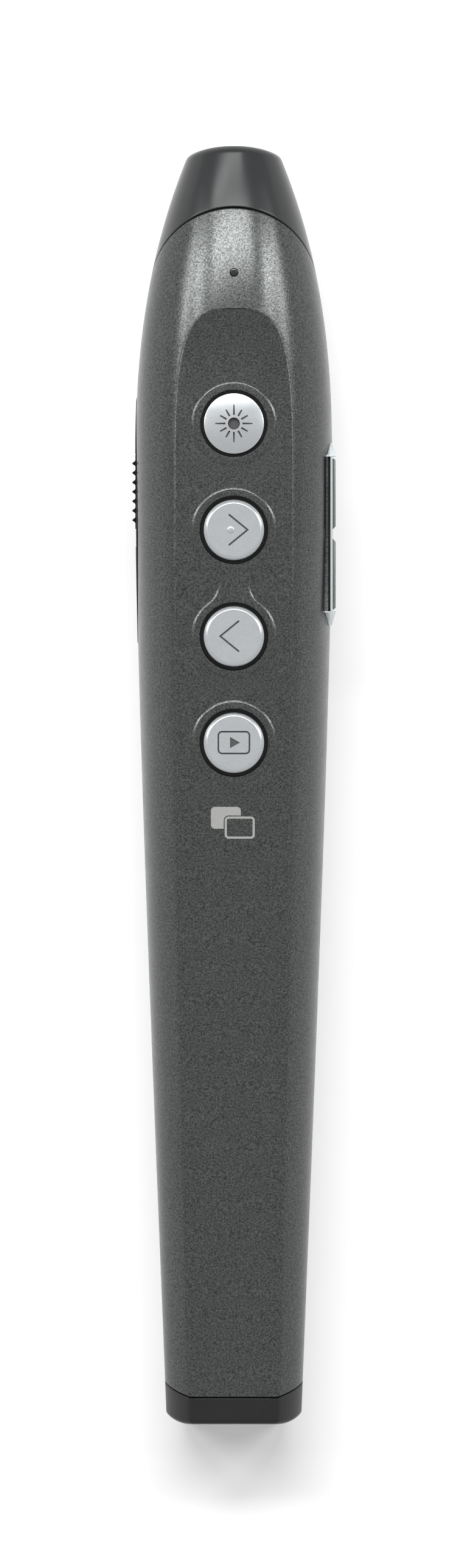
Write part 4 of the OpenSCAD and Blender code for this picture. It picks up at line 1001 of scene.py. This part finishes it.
def build_rocker(scene):
    """The two volume keys: satin bars, slanted at the finger notch, on a black inner bar with its eye."""
    form = Form(scene.clicker_body)
    y, z = middle("volume_rocker", 1), middle("rocker_bezel", 2)
    half, tall = half_size("volume_rocker", 1), 1.5 * MM
    outer, bar, back = form.half_w + BEZEL_PROUD, form.half_w + 0.12 * MM, form.half_w - 0.95 * MM
    notch, notch_half, corner = 0.6 * MM, 0.9 * MM, 0.25 * MM
    start = notch_half - (outer - bar)

    def outline(draw):
        """One key from its slanted end to its far corner, drawn in at its face and far end."""
        points = np.array([(bar, start), (outer, notch_half), (outer, half - corner), (outer - corner, half),
            (bar, half)])
        return np.column_stack([np.maximum(points[:, 0] - draw, bar), np.minimum(points[:, 1], half - draw)])

    key = loft(softened(outline, (z - tall, z + tall), 0.12 * MM))
    points, faces = key
    mirrored = points * [1, -1, 1], [face[::-1] for face in faces]
    obj = piece("volume_keys", *moved(joined([key, mirrored]), y=y))
    finish_piece(obj, "rocker", [], [finish_of(scene, "satin_volume_grey")])

    pivot_x, bar_end, root = form.half_w - 1.95 * MM, half - 0.1 * MM, back + 0.2 * MM
    lower, arm_half, eye_half = tall - 0.4 * MM, 1 * MM, 1.25 * MM
    bar_half = [(bar, start), (bar, bar_end), (back, bar_end)]
    floor = outer - notch, notch_half - notch
    inner_bar = [(x, -v) for x, v in bar_half[::-1]] + [(floor[0], -floor[1]), floor] + bar_half
    core = piece("volume_keys_core", *moved(prism(inner_bar, z - lower, z + lower, "z"), y=y))
    core.data.materials.append(finish_of(scene, "black_moulded_plastic"))
    offset, nub_x = half - 1.9 * MM, low("volume_rocker", 0) + 0.1 * MM
    nub = prism(circle(0.9 * MM, 40), nub_x, root, "x")
    nubs = joined([moved(nub, y=s * offset, z=z) for s in (-1, 1)])
    arm = prism(oblong(pivot_x, root, -arm_half, arm_half), z - eye_half, z + eye_half, "z")
    eye = moved(prism(circle(1.3 * MM, 48), z - eye_half, z + eye_half, "z"), x=pivot_x)
    for part in (nubs, arm, eye):
        carve(core, moved(part, y=y), "UNION")
    carve(core, moved(prism(circle(0.54 * MM, 40), z - 2 * MM, z + 2 * MM, "z"), pivot_x, y))
    finish_piece(core, "rocker", ["volume_rocker"], [])


def build_door(scene):
    """The battery door: a plate with rounded edges, a grip of five grooves and two hooks."""
    hook_room, corner = 1.22 * MM, 0.5 * MM
    x, y0, y1 = high("battery_door", 0), low("battery_door", 1), high("battery_door", 1) - hook_room
    z0, top = low("battery_door", 2), 1.0 * MM

    def outline(draw):
        """The plate's rounded rectangle, drawn in all round."""
        return rounded_path(x - draw, (y1 - y0) / 2 - draw, corner)

    plate = moved(loft(softened(outline, (z0, top), 0.15 * MM)), y=(y0 + y1) / 2)
    obj = piece("battery_door_plate", *plate)
    obj.data.materials.append(finish_of(scene, "metallic_grey_paint"))
    grip = prism(circle(0.3 * MM, 24) * [1.0, 0.9], -3 * MM, 3 * MM, "x")
    carve(obj, joined([moved(grip, y=y0 + (2.3 + 1.2 * k) * MM, z=z0) for k in range(5)]))
    sill, hook_gap, hook_height = 1.1 * MM, 0.1 * MM, 0.5 * MM
    step = sill + hook_gap
    hook_top, hook_rear = step + hook_height, y1 - 1 * MM
    for side in (-1, 1):
        a, b = sorted((side * 3 * MM, side * 4.8 * MM))
        for front, bottom in ((y1, top - 0.3 * MM), (y1 + hook_room, step)):
            carve(obj, prism(oblong(a, b, hook_rear, front), bottom, hook_top, "z"), "UNION")
    finish_piece(obj, "door", ["battery_door"], [])


def build_small_parts(scene):
    """The laser window with its chamfer, the domed light pipe and the case screws with crossed slots."""
    form = Form(scene.clicker_body)
    r, y0, y1 = high("laser_window", 0), low("laser_window", 1), high("laser_window", 1)
    soft_edge = 0.12 * MM
    disc = [(r, y0), (r, y1 - soft_edge), (r - soft_edge, y1), (0.4 * r, y1), (0.02 * r, y1)]
    window = piece("laser_window_disc", *moved(turned(disc, "y"), z=middle("laser_window", 2)))
    finish_piece(window, "case", ["laser_window"], [finish_of(scene, "dark_red_window")])

    y = middle("light_pipe", 1)
    surface = at(form.facet_z, y)
    pipe_r, dome_foot, dome_height = high("light_pipe", 0) - PIPE_COLLAR, surface - 0.16 * MM, 0.12 * MM
    collar_r, collar_top = pipe_r + PIPE_COLLAR, surface - 1.5 * MM
    collar_low = collar_top - 0.5 * MM
    profile = [(pipe_r, low("light_pipe", 2)), (pipe_r, collar_low), (collar_r, collar_low),
        (collar_r, collar_top), (pipe_r, collar_top)]
    quarter = np.radians(np.linspace(0, 88, 8))
    dome = [(pipe_r * math.cos(a), dome_foot + dome_height * math.sin(a)) for a in quarter]
    pipe = piece("light_pipe_body", *moved(turned(profile + dome, count=48), y=y))
    finish_piece(pipe, "case", ["light_pipe"], [finish_of(scene, "polished_black_plastic")])

    head_r, head_height, shank_r, shank_top, tip_top = 1.45 * MM, 1.3 * MM, 0.7 * MM, 12.6 * MM, 13 * MM
    slot_long, slot_thin, slot_floor = 0.95 * MM, 0.17 * MM, 1.7 * MM
    screws, slots = [], []
    for x, y in case_screw_places(form):
        top = at(form.under_z, y) + SCREW_SINK
        base = top - head_height
        profile = [(0.7 * head_r, base), (head_r - 0.2 * MM, base + 0.06 * MM), (head_r, base + 0.3 * MM),
            (head_r, top), (shank_r, top), (shank_r, shank_top), (0.2 * MM, tip_top)]
        screws.append(moved(turned(profile, count=48), x, y))
        mouth = at(form.under_z, y) + slot_floor
        for a, b in ((slot_long, slot_thin), (slot_thin, slot_long)):
            slot = prism(oblong(-a, a, -b, b), mouth - 1 * MM, mouth + 0.7 * MM, "z")
            slots.append(moved(slot, x, y))
    obj = piece("case_screw_heads", *joined(screws))
    obj.data.materials.append(finish_of(scene, "nickel_plated_steel"))
    for slot in slots:
        carve(obj, slot)
    finish_piece(obj, "case", ["case_screws"], [])


def build_print(scene):
    """The printed pictogram on the facet: a filled screen behind an outlined one, as a thin layer of ink."""
    form = Form(scene.clicker_body)
    centre_y, ink_low, ink_high = -4.0 * MM, -0.05 * MM, 0.012 * MM
    line, gap, corner = 0.25 * MM, 0.12 * MM, 0.45 * MM
    back_place, front_place = (-0.94 * MM, 0.15 * MM), (0.68 * MM, -1.0 * MM)
    front_half = np.array([1.76 * MM, 1.30 * MM])
    back = prism(rounded_path(1.75 * MM, 1.28 * MM, corner), ink_low, ink_high, "z")
    hidden = prism(rounded_path(*(front_half + gap), corner + gap), -1 * MM, 1 * MM, "z")
    outer, inner = rounded_path(*front_half, corner), rounded_path(*(front_half - line), corner - line)
    filled = piece("screen_print_fill", *moved(back, *back_place))
    carve(filled, moved(hidden, *front_place))
    outlined = moved(band_between(outer, inner, ink_low, ink_high), *front_place)
    for obj in (filled, piece("screen_print_frame", *outlined)):
        points = np.array([v.co for v in obj.data.vertices])
        laid, _ = on_facet((points, []), form, centre_y)
        obj.data.vertices.foreach_set("co", laid.astype(np.float32).ravel())
        obj.data.update()
        finish_piece(obj, "case", [], [finish_of(scene, "printed_ink")])


# ---------------------------------------------------------------- finishes

# Colour or the name of its setting, metallic, roughness, grain scale, mottling, relief and further settings
FINISHES = {
    "metallic_grey_paint": ("paint", 1.0, 0.27, 5200, 0.6, 0.3, {}),
    "smoke_plastic_gloss": ("smoke", 0.0, 0.24, 3000, 0.1, 0.05, {"specular": 0.42}),
    "black_moulded_plastic": ("black", 0.0, 0.38, 4200, 0.3, 0.3, {"specular": 0.3}),
    "polished_black_plastic": ((0.008, 0.008, 0.009), 0.0, 0.12, 1500, 0.2, 0.03, {}),
    "matt_black_plastic": ("black", 0.0, 0.8, 4200, 0.3, 0.3, {"specular": 0.1}),
    "satin_key_silver": ("key", 0.6, 0.3, 6500, 0.06, 0.12, {}),
    "satin_volume_grey": ((0.17, 0.18, 0.18), 0.7, 0.3, 5200, 0.12, 0.12, {}),
    "polished_key_rim": ((0.43, 0.45, 0.46), 1.0, 0.26, 2500, 0.03, 0.02, {}),
    # Near black, laid in the engraved grooves as painted shade
    "engraved_key_silver": ((0.07, 0.07, 0.07), 0.5, 0.5, 6500, 0.1, 0.1, {}),
    "chrome_trim_finish": ("chrome", 1.0, 0.16, 1800, 0.03, 0.02, {}),
    "printed_ink": ("print_ink", 0.0, 0.6, 6000, 0.08, 0.2, {}),
    "dark_red_window": ((0.10, 0.008, 0.012), 0.0, 0.06, 900, 0.05, 0.01, {"coat": 1.0}),
    "coated_lens": ((0.55, 0.62, 0.70), 0.0, 0.03, 900, 0.02, 0.005, {"coat": 1.0}),
    "nickel_plated_steel": ((0.66, 0.65, 0.62), 1.0, 0.28, 2600, 0.08, 0.08, {}),
    "copper_strip": ((0.72, 0.40, 0.22), 1.0, 0.3, 2600, 0.08, 0.08, {}),
    "turned_brass": ((0.62, 0.47, 0.22), 1.0, 0.25, 2600, 0.08, 0.08, {}),
    "gold_plating": ((0.80, 0.58, 0.25), 1.0, 0.22, 2600, 0.08, 0.08, {}),
    "green_circuit_board": ((0.02, 0.13, 0.055), 0.0, 0.35, 3200, 0.15, 0.15, {}),
    "chip_black": ((0.02, 0.02, 0.022), 0.0, 0.5, 3200, 0.15, 0.15, {}),
    "white_ceramic": ((0.72, 0.70, 0.64), 0.0, 0.4, 3200, 0.15, 0.15, {}),
    "tan_ceramic": ((0.30, 0.19, 0.10), 0.0, 0.45, 3200, 0.15, 0.15, {}),
    "switch_black": ((0.03, 0.03, 0.03), 0.0, 0.45, 3200, 0.15, 0.15, {}),
    "white_plunger": ((0.70, 0.69, 0.66), 0.0, 0.4, 3200, 0.15, 0.15, {}),
}

# The finish of the frame nodes that stay in view, by material slot
SLOT_FINISHES = {
    "shell_paint": "metallic_grey_paint", "smoke_plastic": "smoke_plastic_gloss", "window": "dark_red_window",
    "black_plastic": "black_moulded_plastic", "gloss_black": "polished_black_plastic",
    "chrome_trim": "chrome_trim_finish", "steel": "nickel_plated_steel", "cell": "cell_label",
    "copper": "copper_strip", "board": "green_circuit_board", "chip": "chip_black",
    "ceramic": "white_ceramic", "passive": "tan_ceramic", "switch": "switch_black",
    "plunger": "white_plunger", "brass": "turned_brass", "lens": "coated_lens",
    "silver_key": "satin_key_silver", "grey_key": "satin_key_silver", "gold_contact": "gold_plating",
}


def node_material(name):
    """A new material, its node tree and its shader."""
    material = bpy.data.materials.new(name)
    material.use_nodes = True
    return material, material.node_tree, material.node_tree.nodes["Principled BSDF"]


def add_node(tree, kind, **inputs):
    """A node with some of its sockets set by name, underscores standing for spaces."""
    node = tree.nodes.new(kind)
    for name, value in inputs.items():
        node.inputs[name.replace("_", " ")].default_value = value
    return node


def grain(tree, scale, detail=2.0):
    """Fine noise over the piece's own place in the frame."""
    coords = tree.nodes.new("ShaderNodeTexCoord")
    noise = add_node(tree, "ShaderNodeTexNoise", Scale=scale, Detail=detail, Roughness=0.6)
    tree.links.new(coords.outputs["Object"], noise.inputs["Vector"])
    return noise.outputs["Fac"]


def spread(tree, value, low_value, high_value):
    """A value's middle stretch, 0.3 to 0.7, mapped to a new range."""
    new_range = {"To_Min": low_value, "To_Max": high_value}
    node = add_node(tree, "ShaderNodeMapRange", From_Min=0.3, From_Max=0.7, **new_range)
    tree.links.new(value, node.inputs["Value"])
    return node.outputs["Result"]


def shaded_colour(tree, colour, amount):
    """A colour multiplied by a grey that varies over the surface."""
    mix = tree.nodes.new("ShaderNodeMix")
    mix.data_type = "RGBA"
    mix.blend_type = "MULTIPLY"
    mix.inputs["Factor"].default_value = 1.0
    mix.inputs[6].default_value = (*colour, 1)
    tree.links.new(amount, mix.inputs[7])
    return mix.outputs[2]


def bump(tree, shader, height, strength, distance):
    """Small relief from a height."""
    node = add_node(tree, "ShaderNodeBump", Strength=strength, Distance=distance)
    tree.links.new(height, node.inputs["Height"])
    tree.links.new(node.outputs["Normal"], shader.inputs["Normal"])


# Finishes that are made already, by name
MADE = {}
RELIEF_HEIGHT = 0.00002


def moulded(name, colour, metallic, roughness, scale, mottle, relief, coat=0.0, specular=0.5):
    """A finish with fine mottling and relief, and a roughness that varies more broadly."""
    material, tree, shader = node_material(name)
    fine = grain(tree, scale)
    broad = grain(tree, scale / 14, 3.0)
    mottled = shaded_colour(tree, tuple(colour), spread(tree, fine, 1 - mottle, 1 + mottle))
    tree.links.new(mottled, shader.inputs["Base Color"])
    tree.links.new(spread(tree, broad, roughness * 0.9, roughness * 1.1), shader.inputs["Roughness"])
    bump(tree, shader, fine, relief, RELIEF_HEIGHT)
    settings = {"Metallic": metallic, "Specular IOR Level": specular, "Coat Weight": coat,
        "Coat Roughness": 0.05}
    for socket, value in settings.items():
        shader.inputs[socket].default_value = value
    return material


def cell_label():
    """A printed cell label: black for most of the can, copper-gold towards the plus end, bare ends."""
    material, tree, shader = node_material("cell_label")
    coords = tree.nodes.new("ShaderNodeTexCoord")
    split = tree.nodes.new("ShaderNodeSeparateXYZ")
    tree.links.new(coords.outputs["Object"], split.inputs[0])
    reach, half = 60 * MM, half_size("front_cell", 1)
    black, copper, bare = (0.02, 0.02, 0.022), (0.60, 0.30, 0.10), (0.66, 0.65, 0.62)
    copper_from, bare_from = 0.45, 0.93
    front, rear = middle("front_cell", 1), middle("rear_cell", 1)
    bands = [(-reach, black), (rear + half * copper_from, copper), (rear + half * bare_from, bare),
        (rear + half, black), (front + half * copper_from, copper), (front + half * bare_from, bare)]
    place = add_node(tree, "ShaderNodeMapRange", From_Min=-reach, From_Max=reach)
    tree.links.new(split.outputs["Y"], place.inputs["Value"])
    ramp = tree.nodes.new("ShaderNodeValToRGB")
    ramp.color_ramp.interpolation = "CONSTANT"
    tree.links.new(place.outputs["Result"], ramp.inputs["Fac"])
    elements = ramp.color_ramp.elements
    for k, (start, colour) in enumerate(bands):
        share = (start + reach) / (2 * reach)
        element = elements[k] if k < 2 else elements.new(share)
        element.position = share
        element.color = (*colour, 1)
    tree.links.new(ramp.outputs["Color"], shader.inputs["Base Color"])
    tree.links.new(spread(tree, grain(tree, 1500), 0.25, 0.35), shader.inputs["Roughness"])
    shader.inputs["Metallic"].default_value = 0.6
    return material


def finish_of(scene, name):
    """A finish by its name, made once, its colour taken from the user's settings where its row names one."""
    if name not in MADE:
        if name == "cell_label":
            MADE[name] = cell_label()
        else:
            colour, *values, more = FINISHES[name]
            if isinstance(colour, str):
                colour = getattr(scene.clicker_finish, colour)
            MADE[name] = moulded(name, colour, *values, **more)
    return MADE[name]


# ---------------------------------------------------------------- stage

FLOOR_HALF = 8.0
FLOOR_Z = -0.00005
FLOOR_LIFT = 0.4
WORLD_LEVEL = 0.05
LIGHT_AIM = (0, 0.02, 0.01)
SOFTBOXES = [
    ("front_softbox", (-0.05, 0.70, 0.96), (1.22, 0.24), 12.0),
    ("nose_softbox", (-0.20, 0.95, 0.74), (1.04, 0.12), 9.5),
]
SIDE_SOFTBOXES = [
    ("corner_softbox", (0.76, 0.46, 0.62), (0.24, 0.24), 12.0),
    ("edge_softbox", (0.66, 0.20, 0.90), (0.10, 0.16), 11.0),
    ("softbox", (0.80, 0.38, 0.34), (0.30, 0.14), 10.0),
]
CAMERA_X = -0.107 * MM
CAMERA_Y = 0.107 * MM
CAMERA_HEIGHT = 2.4
CAMERA_REACH = 20.0
VIEW_LENGTH = 184.3 * MM


def area_light(name, place, size, radiance):
    """A softbox aimed at the object, its power worked out from the radiance that it shows."""
    data = bpy.data.lights.new(name, "AREA")
    data.shape = "RECTANGLE"
    data.size, data.size_y = size
    data.energy = radiance * math.pi * size[0] * size[1]
    lamp = bpy.data.objects.new(name, data)
    bpy.context.scene.collection.objects.link(lamp)
    lamp.location = place
    lamp.rotation_euler = (Vector(LIGHT_AIM) - Vector(place)).to_track_quat("-Z", "Y").to_euler()


def seen_directly(tree):
    """One for camera, glossy and transmission rays, and nothing for diffuse light."""
    path = tree.nodes.new("ShaderNodeLightPath")
    value = path.outputs["Is Camera Ray"]
    for name in ("Is Glossy Ray", "Is Transmission Ray"):
        either = tree.nodes.new("ShaderNodeMath")
        either.operation = "MAXIMUM"
        tree.links.new(value, either.inputs[0])
        tree.links.new(path.outputs[name], either.inputs[1])
        value = either.outputs[0]
    return value


def build_stage(scene):
    """White floor that keeps the shadow, a white surround, softboxes and a long lens straight above."""
    square = oblong(-FLOOR_HALF, FLOOR_HALF, -FLOOR_HALF, FLOOR_HALF)
    floor = piece("floor", ring(square, FLOOR_Z), [(0, 1, 2, 3)])
    material, tree, shader = node_material("floor_white")
    shader.inputs["Base Color"].default_value = (0.8, 0.8, 0.8, 1)
    shader.inputs["Roughness"].default_value = 0.9
    lift = tree.nodes.new("ShaderNodeMath")
    lift.operation = "MULTIPLY"
    lift.inputs[1].default_value = FLOOR_LIFT
    tree.links.new(seen_directly(tree), lift.inputs[0])
    shader.inputs["Emission Color"].default_value = (1, 1, 1, 1)
    tree.links.new(lift.outputs[0], shader.inputs["Emission Strength"])
    floor.data.materials.append(material)

    world = bpy.data.worlds.new("studio")
    world.use_nodes = True
    scene.world = world
    tree = world.node_tree
    background = tree.nodes["Background"]
    background.inputs["Color"].default_value = (1, 1, 1, 1)
    level = add_node(tree, "ShaderNodeMapRange", To_Min=WORLD_LEVEL, To_Max=1.0)
    tree.links.new(seen_directly(tree), level.inputs["Value"])
    tree.links.new(level.outputs["Result"], background.inputs["Strength"])

    for name, place, size, radiance in SOFTBOXES:
        area_light(name, place, size, radiance)
    for name, (x, y, z), size, radiance in SIDE_SOFTBOXES:
        for side, sign in (("right", 1), ("left", -1)):
            area_light(f"{side}_{name}", (sign * x, y, z), size, radiance)

    data = bpy.data.cameras.new("camera")
    camera = bpy.data.objects.new("camera", data)
    scene.collection.objects.link(camera)
    scene.camera = camera
    camera.location = (CAMERA_X, CAMERA_Y, CAMERA_HEIGHT)
    data.lens = data.sensor_width * (CAMERA_HEIGHT - scene.clicker_body.parting) / VIEW_LENGTH
    data.clip_end = CAMERA_REACH
    scene.view_settings.view_transform = "Standard"


# ---------------------------------------------------------------- operators and panel

def dress_frame(scene):
    """Gives every frame node that stays in view the finish of its slot."""
    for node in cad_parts.values():
        if node.hide_render:
            continue
        for holder in node.material_slots:
            slot = holder.material.name.split(".")[0]
            holder.material = finish_of(scene, SLOT_FINISHES[slot])


class CLICKER_OT_upper_shell(bpy.types.Operator):
    """Build the upper shell with its pads and openings"""
    bl_idname = "clicker.upper_shell"
    bl_label = "Upper Shell"

    def execute(self, context):
        build_upper_shell(context.scene)
        return {"FINISHED"}


class CLICKER_OT_lower_shell(bpy.types.Operator):
    """Build the lower shell with its openings"""
    bl_idname = "clicker.lower_shell"
    bl_label = "Lower Shell"

    def execute(self, context):
        build_lower_shell(context.scene)
        return {"FINISHED"}


class CLICKER_OT_end_caps(bpy.types.Operator):
    """Build the smoke nose cap and the black tail cap"""
    bl_idname = "clicker.end_caps"
    bl_label = "End Caps"

    def execute(self, context):
        build_nose_cap(context.scene)
        build_receiver_cap(context.scene)
        return {"FINISHED"}


class CLICKER_OT_keys(bpy.types.Operator):
    """Build the four top keys with their engraved marks"""
    bl_idname = "clicker.keys"
    bl_label = "Top Keys"

    def execute(self, context):
        build_keys(context.scene)
        return {"FINISHED"}


class CLICKER_OT_side_controls(bpy.types.Operator):
    """Build the panel and slider on the left, and the bezel and volume keys on the right"""
    bl_idname = "clicker.side_controls"
    bl_label = "Side Controls"

    def execute(self, context):
        build_panel(context.scene)
        build_slider(context.scene)
        build_bezel(context.scene)
        build_rocker(context.scene)
        return {"FINISHED"}


class CLICKER_OT_small_parts(bpy.types.Operator):
    """Build the battery door, the laser window, the light pipe and the case screws"""
    bl_idname = "clicker.small_parts"
    bl_label = "Small Parts"

    def execute(self, context):
        build_door(context.scene)
        build_small_parts(context.scene)
        return {"FINISHED"}


class CLICKER_OT_printed_mark(bpy.types.Operator):
    """Build the printed pictogram on the facet"""
    bl_idname = "clicker.printed_mark"
    bl_label = "Printed Mark"

    def execute(self, context):
        build_print(context.scene)
        return {"FINISHED"}


class CLICKER_OT_frame_finishes(bpy.types.Operator):
    """Give every frame node that stays in view its finish"""
    bl_idname = "clicker.frame_finishes"
    bl_label = "Frame Finishes"

    def execute(self, context):
        dress_frame(context.scene)
        return {"FINISHED"}


class CLICKER_OT_stage(bpy.types.Operator):
    """Build the floor, the lights and the camera"""
    bl_idname = "clicker.stage"
    bl_label = "Stage"

    def execute(self, context):
        build_stage(context.scene)
        return {"FINISHED"}


OPERATORS = (
    CLICKER_OT_upper_shell, CLICKER_OT_lower_shell, CLICKER_OT_end_caps, CLICKER_OT_keys,
    CLICKER_OT_side_controls, CLICKER_OT_small_parts, CLICKER_OT_printed_mark,
    CLICKER_OT_frame_finishes, CLICKER_OT_stage,
)


class CLICKER_PT_pieces(bpy.types.Panel):
    """The clicker's sizes, finishes and pieces"""
    bl_idname = "CLICKER_PT_pieces"
    bl_label = "Clicker"
    bl_space_type = "VIEW_3D"
    bl_region_type = "UI"
    bl_category = "Clicker"

    def draw(self, context):
        scene = context.scene
        for group in (scene.clicker_body, scene.clicker_controls, scene.clicker_finish):
            box = self.layout.box()
            for name in group.__annotations__:
                box.prop(group, name)
        for operator in OPERATORS:
            self.layout.operator(operator.bl_idname)


GROUPS = (ClickerBody, ClickerControls, ClickerFinish)


def register():
    """Registers the classes and hangs the sizes on the scene."""
    for cls in GROUPS + OPERATORS + (CLICKER_PT_pieces,):
        bpy.utils.register_class(cls)
    bpy.types.Scene.clicker_body = PointerProperty(type=ClickerBody)
    bpy.types.Scene.clicker_controls = PointerProperty(type=ClickerControls)
    bpy.types.Scene.clicker_finish = PointerProperty(type=ClickerFinish)


def unregister():
    """Takes the sizes and the classes away again."""
    del bpy.types.Scene.clicker_finish
    del bpy.types.Scene.clicker_controls
    del bpy.types.Scene.clicker_body
    for cls in reversed(GROUPS + OPERATORS + (CLICKER_PT_pieces,)):
        bpy.utils.unregister_class(cls)


def main():
    """Builds every piece in order."""
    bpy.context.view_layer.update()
    register()
    for operator in OPERATORS:
        group, name = operator.bl_idname.split(".")
        getattr(getattr(bpy.ops, group), name)()


if __name__ == "__main__":
    main()
